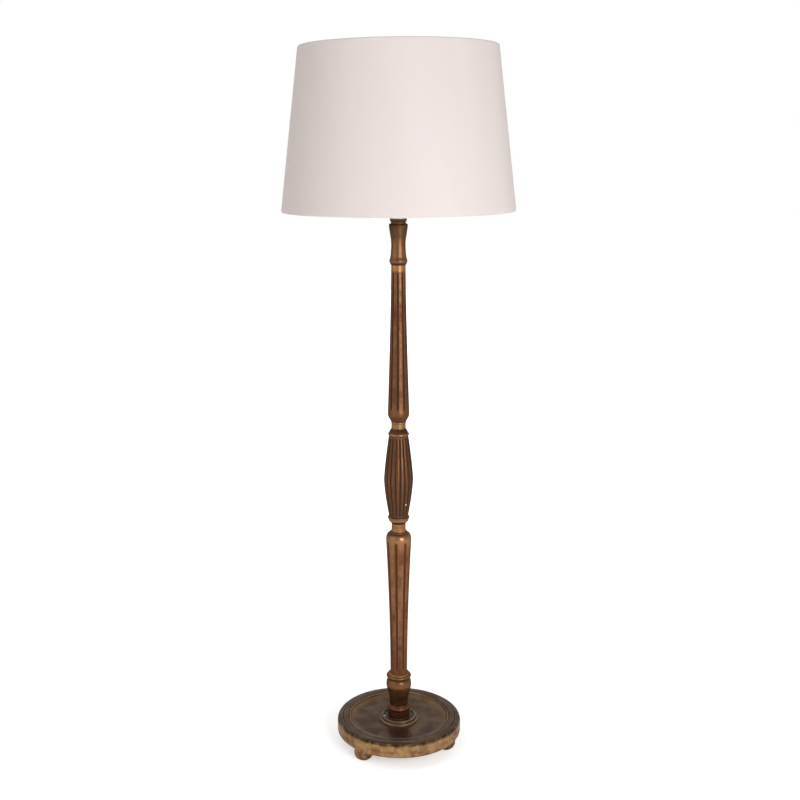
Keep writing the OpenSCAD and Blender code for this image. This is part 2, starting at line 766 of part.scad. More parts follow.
module top_vase() {
    color(gilt)
        translate([0, 0, vase_z]) difference() {
            column_section(vase_h, has_spigot = false) turned(vase_outline());
            translate([0, 0, vase_h - top_nut_pocket]) cylinder(r = nut_r + 0.6, h = top_nut_pocket + 1, $fn = 48);
        }
}

module top_disc() {
    r = disc_d / 2;
    color([0.3, 0.25, 0.18])
        translate([0, 0, disc_z]) difference() {
            turned(concat(
                station_curve([[r - 2.4, 0], [r - 1.7, disc_h * 0.35], [r - 0.5, disc_h * 0.65]], 4),
                arc(r - 1, disc_h - 1.2, 1, 1.2, -60, 90, 5)));
            rod_hole(disc_h);
        }
}

// ---- Lampholder ----

cap_wall_r = cap_d / 2 - holder_wall;
cap_floor = 12;
cap_seat_h = 4;

module holder_cap() {
    foot_r = cap_foot_d / 2;
    outline = concat(
        [[foot_r - 1, 0], [foot_r, 1]],
        station_curve([
            [foot_r, 5],
            [bend(foot_r, cap_d / 2, 0.6, 1), 12],
            [cap_d / 2, 19]], 5),
        [[cap_d / 2, cap_h]]);
    color(cream)
        translate([0, 0, cap_z]) difference() {
            turned(outline);
            translate([0, 0, -1]) cylinder(r = rod_r + 0.02, h = cap_floor + 2, $fn = 48);
            translate([0, 0, cap_floor]) cylinder(r1 = foot_r - holder_wall, r2 = cap_wall_r, h = 8.5);
            translate([0, 0, cap_floor + 8]) cylinder(r = cap_wall_r, h = cap_h);
            translate([-cap_d, 0, bar_h]) rotate([0, 90, 0])
                cylinder(r = bar_d / 2 + run_gap, h = 2 * cap_d, $fn = 48);
        }
}

// The block that carries the terminals, the screw shell and the contact
module holder_insert() {
    terminal_r = 3.4;
    color([0.9, 0.88, 0.84])
        difference() {
            union() {
                translate([0, 0, flange_z - cap_seat_h])
                    cylinder(r = cap_wall_r - 0.1, h = cap_seat_h);
                translate([0, 0, flange_z - lap])
                    cylinder(r = skirt_bore_r - 0.2, h = insert_rise + lap);
            }
            for (s = [-1, 1]) translate([0, s * 9, flange_z - cap_seat_h - 1])
                cylinder(r = terminal_r, h = cap_seat_h + 3, $fn = small_fn);
        }
}

module terminal_screws() {
    color(brass)
        for (s = [-1, 1]) translate([0, s * 9, flange_z - cap_seat_h]) {
            cylinder(r = 3.1, h = 3, $fn = small_fn);
            cylinder(r = 1.5, h = cap_seat_h + 2, $fn = small_fn);
        }
}

module holder_skirt() {
    color(cream)
        translate([0, 0, flange_z]) difference() {
            union() {
                cylinder(d = cap_d, h = flange_t);
                cylinder(r = skirt_r, h = skirt_h + flange_t);
            }
            translate([0, 0, -1]) cylinder(r = skirt_bore_r, h = skirt_h + flange_t + 2);
        }
}

module screw_shell() {
    shell_h = skirt_h + flange_t - insert_rise - 2;
    color(brass)
        translate([0, 0, insert_top_z]) difference() {
            union() {
                cylinder(r = shell_bore_r + shell_wall, h = shell_h);
                cylinder(r = skirt_bore_r - 0.4, h = 1);
            }
            translate([0, 0, -1]) cylinder(r = shell_bore_r, h = shell_h + 2);
        }
}

// A bent brass tongue: its foot lies on the insert and its tip meets the bulb
module centre_contact() {
    w = 6;
    color(brass)
        translate([0, w / 2, insert_top_z]) rotate([90, 0, 0]) linear_extrude(w)
            polygon([[-11, 0], [-6, 0], [-2, contact_rise - contact_t], [3, contact_rise - contact_t],
                     [3, contact_rise], [-2.3, contact_rise], [-6.4, contact_t], [-11, contact_t]]);
}

// The bar that is pushed from either side; at rest it stands out on the left
module switch_bar() {
    end = 1.2;
    color([0.85, 0.8, 0.7])
        translate([-bar_l / 2 - bar_travel / 2, 0, cap_z + bar_h]) rotate([0, 90, 0])
            turned(concat(
                arc(bar_d / 2 - end, end, end, end, -90, 0, 5),
                arc(bar_d / 2 - end, bar_l - end, end, end, 0, 90, 5)));
}

clamp_ring_z = spider_z + spider_t + seat_gap;

module clamp_ring() {
    grips = 24;
    color(cream)
        translate([0, 0, clamp_ring_z]) difference() {
            cylinder(d = clamp_ring_d, h = clamp_ring_h);
            translate([0, 0, -1]) cylinder(r = skirt_r + run_gap, h = clamp_ring_h + 2);
            for (i = [0:grips - 1]) rotate([0, 0, 360 / grips * i])
                translate([clamp_ring_d / 2 + 0.5, 0, 2]) cylinder(r = 1.2, h = clamp_ring_h, $fn = 16);
        }
}

// ---- Bulb ----

module bulb_cap() {
    color([0.75, 0.75, 0.76])
        translate([0, 0, bulb_cap_z]) difference() {
            union() {
                cylinder(r = bulb_cap_r, h = bulb_cap_h - 3);
                translate([0, 0, bulb_cap_h - 3]) cylinder(r1 = bulb_cap_r, r2 = bulb_cap_r + 0.8, h = 3);
            }
            translate([0, 0, -1]) cylinder(r = bulb_cap_r - 0.5, h = bulb_cap_h + 2);
        }
}

module bulb_insulator() {
    color([0.08, 0.08, 0.09])
        translate([0, 0, insulator_z]) cylinder(r1 = 6, r2 = bulb_cap_r - 1, h = insulator_h);
}

module bulb_tip() {
    color([0.7, 0.7, 0.68])
        translate([0, 0, tip_z]) cylinder(r1 = 3.4, r2 = 4.6, h = tip_h, $fn = 48);
}

// Outline of the glass: a ball on a neck, shrunk by the given thickness
function glass_outline(t) =
    let (neck_r = bulb_cap_r - 0.7 - t, ball = bulb_r - t, foot_z = glass_z - 6, wide_z = glass_z + 4)
    concat(
        [[neck_r, foot_z], [neck_r, wide_z - 2]],
        station_curve([
            [neck_r + 0.6, wide_z],
            [neck_r + 4.2, wide_z + (bulb_ball_z - wide_z) * 0.38],
            [ball * cos(32), bulb_ball_z - ball * sin(32)]], 6),
        arc(0, bulb_ball_z, ball, ball, -26, 90, 18));

module bulb_glass() {
    color([0.95, 0.95, 0.93])
        difference() {
            turned(glass_outline(0));
            difference() {
                turned(glass_outline(glass_t));
                cylinder(r = bulb_r, h = glass_z - 5);
            }
        }
}

stem_z = glass_z - 5;
stem_r = 3.5;
stem_h = 30;
lead_r = 0.4;
lead_foot_x = 2.2;
lead_foot_z = stem_z + stem_h - 2;
filament_reach = 11;
filament_z = bulb_ball_z + 2;

// The glass stem, with two holes that the lead wires stand in
module bulb_stem() {
    color([0.85, 0.88, 0.88])
        difference() {
            translate([0, 0, stem_z]) {
                cylinder(r1 = 9, r2 = stem_r, h = 8, $fn = 48);
                cylinder(r = stem_r, h = stem_h, $fn = 48);
                translate([0, 0, stem_h]) sphere(r = stem_r, $fn = 48);
            }
            lead_wires(lead_r + 0.1);
        }
}

module lead_wires(r) {
    rise = filament_z - lead_foot_z;
    lean = filament_reach - lead_foot_x;
    for (s = [-1, 1]) translate([s * lead_foot_x, 0, lead_foot_z]) rotate([0, s * atan2(lean, rise), 0])
        cylinder(r = r, h = norm([lean, rise]), $fn = 16);
}

// Two lead wires and the filament between them
module bulb_filament() {
    color([0.5, 0.48, 0.45]) {
        lead_wires(lead_r);
        for (s = [-1, 1]) translate([s * filament_reach, 0, filament_z]) sphere(r = lead_r * 1.6, $fn = 16);
        translate([-filament_reach, 0, filament_z]) rotate([0, 90, 0])
            cylinder(r = lead_r * 1.3, h = 2 * filament_reach, $fn = 16);
    }
}

// ---- Shade ----

// A conical wall between two heights, t thick, with its outer face inset
module shade_wall(z0, z1, inset, t) {
    rotate_extrude($fn = 180)
        polygon([
            [shade_r(z0) - inset, z0], [shade_r(z1) - inset, z1],
            [shade_r(z1) - inset - t, z1], [shade_r(z0) - inset - t, z0]]);
}

// The fabric, rolled round the wire at the top and at the bottom, and slit
// where an arm of the frame passes through
module shade_fabric() {
    color([0.93, 0.9, 0.89])
        difference() {
            union() {
                shade_wall(bottom_wire_z, top_wire_z, 0, fabric_t);
                for (z = [bottom_wire_z, top_wire_z]) rotate_extrude($fn = 180)
                    translate([shade_r(z) - hem_r, z]) circle(r = hem_r, $fn = small_fn);
            }
            for (z = [bottom_wire_z, top_wire_z]) rotate_extrude($fn = 180)
                translate([shade_r(z) - hem_r, z]) circle(r = wire_r + 0.1, $fn = small_fn);
            for (i = [0:2]) spider_arm(i, arm_r + 0.4);
        }
}

module shade_liner() {
    color([0.97, 0.96, 0.94])
        shade_wall(bottom_wire_z + hem_r + liner_gap, top_wire_z - hem_r - liner_gap,
            fabric_t + liner_gap, liner_t);
}

module wire_ring(z) {
    rotate_extrude($fn = 180)
        translate([shade_r(z) - hem_r, z]) circle(r = wire_r, $fn = small_fn);
}

module shade_top_wire() {
    color([0.9, 0.9, 0.88]) wire_ring(top_wire_z);
}

arm_r = 1.8;

// An arm from the middle ring down to the bottom wire; nothing of it stands
// higher than the ring, on which the clamp ring rests
module spider_arm(i, r) {
    inner_r = spider_d / 2 - 1.5;
    inner_z = spider_z + spider_t - arm_r - 0.1;
    run = shade_r(bottom_wire_z) - hem_r - inner_r;
    fall = inner_z - bottom_wire_z;
    rotate([0, 0, 30 + third * i]) translate([inner_r, 0, inner_z])
        rotate([0, 90 + atan2(fall, run), 0])
            cylinder(r = r, h = norm([run, fall]), $fn = small_fn);
}

module shade_bottom_frame() {
    color([0.9, 0.9, 0.88])
        difference() {
            union() {
                wire_ring(bottom_wire_z);
                for (i = [0:2]) spider_arm(i, arm_r);
                translate([0, 0, spider_z]) cylinder(d = spider_d, h = spider_t);
            }
            translate([0, 0, spider_z - 5]) cylinder(r = skirt_r + 0.3, h = 10);
            translate([0, 0, spider_z - 5]) cylinder(d = cap_d + 1, h = 5);
            translate([0, 0, spider_z + spider_t]) cylinder(d = clamp_ring_d + 1, h = 5);
        }
}

for (i = [0:2]) {
    bun_foot(i);
    foot_pad(i);
}
foot_screws();
base_disc();
base_boss();
weight_plate();
weight_screws();
cord_bush();
threaded_tube();
bottom_washer();
bottom_nut();
top_nut();
lower_urn();
lower_shaft();
lower_neck();
reeded_belly();
upper_neck();
upper_shaft();
top_vase();
top_disc();
holder_cap();
holder_insert();
holder_skirt();
screw_shell();
centre_contact();
terminal_screws();
switch_bar();
clamp_ring();
bulb_cap();
bulb_insulator();
bulb_tip();
bulb_glass();
bulb_stem();
bulb_filament();
shade_fabric();
shade_liner();
shade_top_wire();
shade_bottom_frame();
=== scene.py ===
import math
import bmesh
import bpy
import numpy as np
from mathutils import Matrix, Vector


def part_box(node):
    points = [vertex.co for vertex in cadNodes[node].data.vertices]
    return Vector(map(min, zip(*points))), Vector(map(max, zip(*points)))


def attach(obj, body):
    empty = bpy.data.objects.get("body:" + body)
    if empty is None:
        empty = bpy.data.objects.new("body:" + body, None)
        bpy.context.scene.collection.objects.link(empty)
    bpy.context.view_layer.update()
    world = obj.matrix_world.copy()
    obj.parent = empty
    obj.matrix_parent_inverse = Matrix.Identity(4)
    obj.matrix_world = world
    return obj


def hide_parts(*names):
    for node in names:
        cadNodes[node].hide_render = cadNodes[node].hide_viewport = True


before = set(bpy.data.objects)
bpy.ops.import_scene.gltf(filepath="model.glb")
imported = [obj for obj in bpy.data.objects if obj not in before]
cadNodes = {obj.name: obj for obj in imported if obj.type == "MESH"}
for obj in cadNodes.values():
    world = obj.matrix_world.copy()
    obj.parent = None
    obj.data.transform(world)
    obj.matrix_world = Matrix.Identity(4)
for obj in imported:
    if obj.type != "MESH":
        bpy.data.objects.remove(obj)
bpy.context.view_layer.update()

# Candlestick floor lamp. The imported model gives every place, and this script gives the looks:
# worn gold paint over brown wood, a linen shade, and the lampholder and bulb inside it.
mm = 0.001


def lowest(node):
    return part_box(node)[0].z / mm


def highest(node):
    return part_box(node)[1].z / mm


# the camera, at the photograph's angle
cameraView = {
    "place": (0.015, -2.4924, 1.3648),
    "pitch": 12.25,       # degrees down
    "yaw": 2.1,           # degrees to the left
    "roll": -0.43,
    "lens": 51.89,        # mm
    "sensor": 36,         # mm wide
    "shift": 0.045,
}


def addCamera():
    lens = bpy.data.cameras.new("photo_camera")
    camera = bpy.data.objects.new("photo_camera", lens)
    bpy.context.scene.collection.objects.link(camera)
    turn = (Matrix.Rotation(math.radians(cameraView["yaw"]), 4, "Z")
            @ Matrix.Rotation(math.radians(90 - cameraView["pitch"]), 4, "X")
            @ Matrix.Rotation(math.radians(cameraView["roll"]), 4, "Z"))
    camera.matrix_world = Matrix.Translation(cameraView["place"]) @ turn
    lens.sensor_width = cameraView["sensor"]
    lens.lens = cameraView["lens"]
    lens.shift_x = cameraView["shift"]
    lens.clip_start = 0.05
    bpy.context.scene.camera = camera


addCamera()
print("camera ready")


def newFinish(name):
    finish = bpy.data.materials.new(name)
    finish.use_nodes = True
    tree = finish.node_tree
    return finish, tree, tree.nodes["Principled BSDF"]


def put(tree, kind, inputs=None, **settings):
    made = tree.nodes.new("ShaderNode" + kind)
    for key, value in settings.items():
        setattr(made, key, value)
    for key, value in (inputs or {}).items():
        if isinstance(value, bpy.types.NodeSocket):
            tree.links.new(value, made.inputs[key])
        else:
            made.inputs[key].default_value = value
    return made


def rgb(red, green, blue):
    # screen colour, 0 to 255, to the linear colour that a socket takes
    return tuple(v / 12.92 if v <= 0.04045 else ((v + 0.055) / 1.055) ** 2.4
                 for v in (red / 255, green / 255, blue / 255)) + (1,)


def setSockets(shader, **values):
    for key, value in values.items():
        shader.inputs[key.replace("_", " ")].default_value = value


def places(tree, scale=(1, 1, 1)):
    where = put(tree, "TexCoord")
    return put(tree, "Mapping", {"Vector": where.outputs["Object"], "Scale": scale}).outputs[0]


def noise(tree, vector, scale, detail=3, roughness=0.55, distortion=0):
    return put(tree, "TexNoise", {"Vector": vector, "Scale": scale, "Detail": detail,
                                  "Roughness": roughness, "Distortion": distortion}).outputs["Fac"]


def spread(tree, value, low, high, start=0, end=1):
    # goes from start to end while the value goes from low to high
    return put(tree, "MapRange", {"Value": value, "From Min": low, "From Max": high,
                                  "To Min": start, "To Max": end}, clamp=True).outputs["Result"]


def math2(tree, operation, a, b, clamp=False):
    return put(tree, "Math", {0: a, 1: b}, operation=operation, use_clamp=clamp).outputs[0]


def mixed(tree, share, a, b, way="MIX"):
    node = put(tree, "Mix", {0: share, 6: a, 7: b}, data_type="RGBA", blend_type=way)
    return node.outputs[2]


def attribute(tree, name):
    return put(tree, "Attribute", attribute_name=name).outputs["Fac"]


def bumped(tree, height, strength, distance, normal=None):
    inputs = {"Height": height, "Strength": strength, "Distance": distance}
    if normal:
        inputs["Normal"] = normal
    return put(tree, "Bump", inputs).outputs["Normal"]


# worn gold paint over brown wood
gilt = {
    "gold": (154, 114, 77),         # rubbed edges and necks
    "sand": (172, 136, 94),         # the gold of the base's side
    "silver": (172, 148, 122),      # rubbed rings of the dish, lighter as a painted sheen
    "bronze": (128, 91, 65),        # the paint itself
    "brown": (102, 71, 49),         # the paint under a dark glaze
    "umber": (84, 58, 41),          # thin paint
    "dusk": (70, 47, 34),           # thin paint under a dark glaze
    "ash": (106, 89, 72),           # the dish, dusty and dull
    "bole": (108, 50, 30),          # red-brown wood that shows through
    "rust": (84, 42, 26),           # dirt over that wood
    "dirt": (56, 32, 21),           # what lies in the grooves
    "glazeAndShade": (40, 29, 22),           # dark glaze, and painted shade in the dark zone bands
    "olive": (84, 71, 46),
    "ground": (226, 216, 202),      # chalk under the paint
}
grain = {                           # how fine each pattern is: higher is finer
    "lines": 520,
    "broad": 130,
    "patches": 26,
    "clouds": 9,
    "specks": 620,
    "grit": 1600,
    "stains": 14,
    "stretch": 0.05,                # along a turned piece
    "roundStretch": 0.12,           # round it
}


def zoned(tree, height, zones):
    # dark and gold bands up a piece, from rows of (height in mm, dirt and painted shade, gold and painted
    # highlight, wood)
    foot, top = zones[0][0] * mm, zones[-1][0] * mm
    ramp = put(tree, "ValToRGB", {"Fac": spread(tree, height, foot, top)})
    stops = ramp.color_ramp.elements
    for i, (at, *shares) in enumerate(zones):
        if i == 0:
            stop = stops[0]
        elif i == len(zones) - 1:
            stop = stops[len(stops) - 1]
        else:
            stop = stops.new((at * mm - foot) / (top - foot))
        stop.color = (*shares, 1)
    return put(tree, "SeparateColor", {0: ramp.outputs["Color"]}).outputs


def giltFinish(name, tone="brown", thinTone="dusk", bright=0.5, red=0.35, dark=0.3, streak="along",
               groove="dirt", rub="gold", metal=0.85, rough=0.26, varnish=0, zones=None, wearScale=1.0,
               chip=None):
    # bright, red and dark: how much gold, bare wood and olive stain there is
    finish, tree, shader = newFinish(name)
    object3 = places(tree)
    ways = {"along": (1, 1, grain["stretch"]), "round": (grain["roundStretch"], grain["roundStretch"], 1)}
    fine = places(tree, ways[streak])
    lines = noise(tree, fine, grain["lines"], 4, 0.6)
    broad = noise(tree, fine, grain["broad"], 3, 0.5)
    patches = noise(tree, object3, grain["patches"] * wearScale, 4, 0.6, 0.4)
    clouds = noise(tree, object3, grain["clouds"], 3, 0.5)
    specks = noise(tree, object3, grain["specks"], 2, 0.7)
    grit = noise(tree, object3, grain["grit"], 2, 0.6)
    hollow, edge = attribute(tree, "hollow"), attribute(tree, "edge")
    uneven = spread(tree, patches, 0.3, 0.6, 0.6, 1.15)

    # paint, thin places and the wood that shows through
    thin = spread(tree, math2(tree, "ADD", patches, math2(tree, "MULTIPLY", broad, 0.5)), 0.62, 0.92)
    paint = mixed(tree, thin, rgb(*gilt[tone]), rgb(*gilt[thinTone]))
    gold = math2(tree, "MULTIPLY", spread(tree, clouds, 0.38, 0.62), bright, clamp=True)
    wood, glazeAndShade = red, 0
    # the zone rows paint light as well as finish: dark rows are glaze and partly painted shade, gold rows are
    # gold and partly painted highlights
    if zones:
        height = put(tree, "SeparateXYZ", {0: object3}).outputs["Z"]
        zone = zoned(tree, height, zones)
        glazeAndShade = math2(tree, "MULTIPLY", zone["Red"], uneven, clamp=True)
        gold = math2(tree, "ADD", gold, math2(tree, "MULTIPLY", zone["Green"], uneven), clamp=True)
        wood = math2(tree, "ADD", zone["Blue"], red, clamp=True)
    paint = mixed(tree, gold, paint, rgb(*gilt["gold"]))
    worst = math2(tree, "ADD", lines, math2(tree, "MULTIPLY", patches, 0.9))
    bare = math2(tree, "MULTIPLY", spread(tree, worst, 0.9, 1.2), wood, clamp=True)
    paint = mixed(tree, bare, paint, rgb(*gilt["bole"]))
    stains = noise(tree, object3, grain["stains"], 4, 0.65, 0.6)
    stain = math2(tree, "MULTIPLY", spread(tree, stains, 0.45, 0.7), dark, clamp=True)
    paint = mixed(tree, stain, paint, rgb(*gilt["olive"]))
    # dark glaze and painted shade of the zone rows
    paint = mixed(tree, glazeAndShade, paint, rgb(*gilt["glazeAndShade"]))
    # dirt in the grooves, the rub colour on the edges; on the reeds these are partly painted shade and
    # highlight, and on the dish's rings the rub colour is a painted sheen
    grimeAndShade = math2(tree, "MULTIPLY", hollow, spread(tree, patches, 0.3, 0.65, 1.15, 0.75), clamp=True)
    paint = mixed(tree, grimeAndShade, paint, rgb(*gilt[groove]))
    wornAndSheen = math2(tree, "MULTIPLY", edge, spread(tree, broad, 0.35, 0.6, 0.25, 0.9), clamp=True)
    paint = mixed(tree, wornAndSheen, paint, rgb(*gilt[rub]))
    dots = spread(tree, specks, 0.66, 0.74, 0, 0.75)
    paint = mixed(tree, dots, paint, rgb(*gilt["dirt"]))
    paint = mixed(tree, spread(tree, grit, 0.35, 0.65, 0, 0.25), paint, rgb(*gilt["umber"]), "MULTIPLY")
    if chip:
        # one spot where the paint has come off and the white ground shows
        away = put(tree, "VectorMath", {0: object3, 1: tuple(v * mm for v in chip[:3])}, operation="DISTANCE")
        spot = spread(tree, away.outputs["Value"], chip[3] * mm * 0.6, chip[3] * mm, 1, 0)
        paint = mixed(tree, spot, paint, rgb(*gilt["ground"]))
        dots = math2(tree, "MAXIMUM", dots, spot)
    tree.links.new(paint, shader.inputs["Base Color"])

    # dirt and bare wood shine less than the paint
    dull = math2(tree, "MAXIMUM", math2(tree, "MAXIMUM", grimeAndShade, bare), math2(tree, "MAXIMUM", dots, glazeAndShade))
    tree.links.new(spread(tree, dull, 0, 1, metal, metal * 0.25), shader.inputs["Metallic"])
    polish = spread(tree, patches, 0.3, 0.7, rough - 0.04, rough + 0.08)
    roughness = math2(tree, "ADD", polish, math2(tree, "MULTIPLY", dull, 0.2))
    tree.links.new(roughness, shader.inputs["Roughness"])
    setSockets(shader, Specular_IOR_Level=0.22, Specular_Tint=(0.3, 0.22, 0.16, 1),
               Coat_Weight=varnish, Coat_Roughness=0.18)
    relief = math2(tree, "ADD", math2(tree, "MULTIPLY", lines, 0.5), math2(tree, "MULTIPLY", specks, 0.35))
    normal = bumped(tree, relief, 0.15, 0.0005)
    normal = bumped(tree, patches, 0.06, 0.003, normal)
    tree.links.new(normal, shader.inputs["Normal"])
    return finish


def arc(cr, cz, rr, rz, start, end, count=14):
    # part of an ellipse round (cr, cz), in degrees from the outward side
    turns = [math.radians(start + (end - start) * i / count) for i in range(count + 1)]
    return [(cr + rr * math.cos(a), cz + rz * math.sin(a)) for a in turns]


def curve(stations):
    # a smooth line through the stations
    points, count = [], 8
    for i in range(len(stations) - 1):
        a, b = stations[max(0, i - 1)], stations[i]
        c, d = stations[i + 1], stations[min(len(stations) - 1, i + 2)]
        for k in range(count):
            t = k / count
            points.append(tuple(
                0.5 * (2 * b[j] + (c[j] - a[j]) * t + (2 * a[j] - 5 * b[j] + 4 * c[j] - d[j]) * t * t
                       + (3 * b[j] - a[j] - 3 * c[j] + d[j]) * t ** 3) for j in (0, 1)))
    return points + [tuple(stations[-1])]


def bend(a, b, t, power=1):
    return a + (b - a) * max(0, min(1, t)) ** power


wear = {
    "window": 2.2,                           # mm to each side that a point is compared with
    "dirt": 2.6, "dirtFrom": 0.15,           # how soon a hollow fills with dirt
    "rub": 2.2, "rubFrom": 0.45,             # how soon an edge is rubbed
}


def shapeOf(outline):
    # how hollow and how sharp the outline is at each point: (hollow, edge)
    window, points = wear["window"], np.array(outline)
    closed = np.vstack([points, points[:1]])
    lengths = np.linalg.norm(np.diff(closed, axis=0), axis=1)
    total, at = lengths.sum(), np.concatenate([[0], np.cumsum(lengths)])
    result = []
    for i, here in enumerate(points):
        nearby = [[np.interp((at[i] + side * window) % total, at, closed[:, j]) for j in (0, 1)]
                  for side in (-1, 1)]
        before, after = np.array(nearby)
        run = after - before
        outward = np.array([run[1], -run[0]]) / (np.linalg.norm(run) + 1e-9)
        rise = float(np.dot(here - (before + after) / 2, outward)) / window
        result.append((min(1, max(0, -rise * wear["dirt"] - wear["dirtFrom"])),
                       min(1, max(0, rise * wear["rub"] - wear["rubFrom"]))))
    return result


def turnPiece(outline, foot, steps=160, start=0, at=(0, 0)):
    # spins a closed outline, which runs up the outside and down the bore
    mesh = bmesh.new()
    hollow = mesh.verts.layers.float.new("hollow")
    edge = mesh.verts.layers.float.new("edge")
    ring = []
    angle = math.radians(start)
    for (radius, height), (low, sharp) in zip(outline, shapeOf(outline)):
        out = radius * mm
        vert = mesh.verts.new((out * math.sin(angle), -out * math.cos(angle), (foot + height) * mm))
        vert[hollow], vert[edge] = low, sharp
        ring.append(vert)
    edges = [mesh.edges.new(pair) for pair in zip(ring, ring[1:] + ring[:1])]
    bmesh.ops.spin(mesh, geom=ring + edges, cent=(0, 0, 0), axis=(0, 0, 1), angle=math.tau,
                   steps=steps, use_merge=True)
    bmesh.ops.remove_doubles(mesh, verts=mesh.verts, dist=1e-6)
    if at != (0, 0):
        bmesh.ops.translate(mesh, verts=mesh.verts, vec=(at[0] * mm, at[1] * mm, 0))
    return mesh


def finishMesh(name, mesh, body, finishes, node=None, sharp=38):
    # closes a piece: normals, smooth faces with sharp arrises, finish, body and node
    bmesh.ops.recalc_face_normals(mesh, faces=mesh.faces)
    for face in mesh.faces:
        face.smooth = True
    for line in mesh.edges:
        line.smooth = line.calc_face_angle(0) < math.radians(sharp)
    data = bpy.data.meshes.new(name)
    mesh.to_mesh(data)
    mesh.free()
    piece = bpy.data.objects.new(name, data)
    bpy.context.scene.collection.objects.link(piece)
    for finish in finishes if isinstance(finishes, list) else [finishes]:
        data.materials.append(finish)
    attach(piece, body)
    if node:
        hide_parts(node)
    return piece


# how the sections of the column fit into each other
joints = {
    "bore": 5.3,           # hole for the threaded tube
    "spigot": 10,
    "spigotLength": 14,
    "socket": 10.1,
    "tenon": 12,
    "tenonLength": 16.5,
}


def section(outline, height, socket=True, tenon=False):
    # closes an outer outline with the spigot over it and the socket or tenon under it
    bore, long = joints["bore"], joints["spigotLength"]
    foot = [(joints["socket"], 0)] if socket else [(bore, 0)]
    if tenon:
        foot = [(bore, -joints["tenonLength"]), (joints["tenon"] - 1, -joints["tenonLength"]),
                (joints["tenon"], 1 - joints["tenonLength"]), (joints["tenon"], 0)]
    top = [(joints["spigot"], height), (joints["spigot"], height + long - 1),
           (joints["spigot"] - 1, height + long), (bore, height + long)]
    inner = [(bore, long + 1), (joints["socket"], long + 1)] if socket else []
    return foot + outline + top + inner


def dense(outline, gap=1.2):
    # adds points on the long straight runs, so that wear and flutes have something to move
    points = []
    for a, b in zip(outline, outline[1:]):
        parts = max(1, math.ceil(math.dist(a, b) / gap))
        points += [(a[0] + (b[0] - a[0]) * i / parts, a[1] + (b[1] - a[1]) * i / parts) for i in range(parts)]
    return points + [outline[-1]]


def fade(z, z0, z1, run):
    # 0 outside z0 to z1, and a round rise to 1 over the first and last run
    near = min(z - z0, z1 - z) / run
    return 0 if near <= 0 else 1 if near >= 1 else math.sqrt(1 - (1 - near) ** 2)


def carve(mesh, foot, outer, count, turn, groove, cut):
    # moves the skin in by cut(u) * depth, where u runs from -1 to 1 across each flute or reed
    full, z0, z1, run = groove
    hollow = mesh.verts.layers.float["hollow"]
    edge = mesh.verts.layers.float["edge"]
    for vert in mesh.verts:
        radius, z = math.hypot(vert.co.x, vert.co.y) / mm, vert.co.z / mm - foot
        depth, rim = full * fade(z, z0, z1, run), outer(z)
        if depth <= 0 or abs(radius - rim) > 0.3:
            continue
        angle = math.degrees(math.atan2(vert.co.x, -vert.co.y)) - turn
        u = (angle / (360 / count) + 0.5) % 1 * 2 - 1
        into, dirt, rub = cut(u)
        scale = (radius - depth * into) / radius
        vert.co.x, vert.co.y = vert.co.x * scale, vert.co.y * scale
        share = depth / full
        vert[hollow] = max(vert[hollow], min(1, dirt * share))
        vert[edge] = max(vert[edge], min(1, rub * share))


flutes = {"share": 0.33, "depth": 1.5, "margin": 11}


def fluteCut(u):
    # a round-bottomed flute over the middle share of each division: (depth, dirt, rub)
    across = abs(u) / flutes["share"]
    if across < 0.999:
        return 1 - across ** 2, 1.15 - across ** 3 * 0.5, 0
    return 0, max(0, 0.35 - (across - 1) * 1.6), max(0, 0.5 - (across - 1) * 1.2)


def reedCut(u):
    # a round reed, with a sharp groove on each side: (depth, dirt, rub); the darker grooves are partly
    # painted shade, and the lighter crest is partly a painted highlight
    side = abs(u)
    return side ** 2.2, max(0, (side - 0.45) / 0.55) ** 1.3 * 1.3, max(0, 0.45 - side) * 1.8


upperShaft = {"foot": 48, "top": 31, "power": 1.35, "height": 346, "footHeight": 19, "flutes": 9, "turn": -5}
lowerShaft = {"foot": 38.6, "top": 57.6, "power": 1.8, "height": 343, "shoulder": 18, "flutes": 8,
              "turn": -12}
neck = {"diameter": 31.8}


def upperShaftRadius(z):
    own = upperShaft
    down = (own["height"] - z) / (own["height"] - own["footHeight"])
    return bend(own["top"], own["foot"], down, own["power"]) / 2


def lowerShaftRadius(z):
    own = lowerShaft
    return bend(own["foot"], own["top"], z / (own["height"] - own["shoulder"]), own["power"]) / 2


def heightsFor(z0, z1, run, low, high):
    # heights up a shaft, close together where the flutes round off
    ends = [run * (1 - math.cos(math.radians(a))) for a in range(0, 90, 10)]
    middle = list(np.linspace(z0 + run, z1 - run, 40))
    below = [low] if low < z0 else []
    return below + [z0 + e for e in ends] + middle + [z1 - e for e in reversed(ends)] + [high]


def over(node, *rows):
    # zone rows of a piece, counted from its foot
    return [(lowest(node) + height, *shares) for height, *shares in rows]


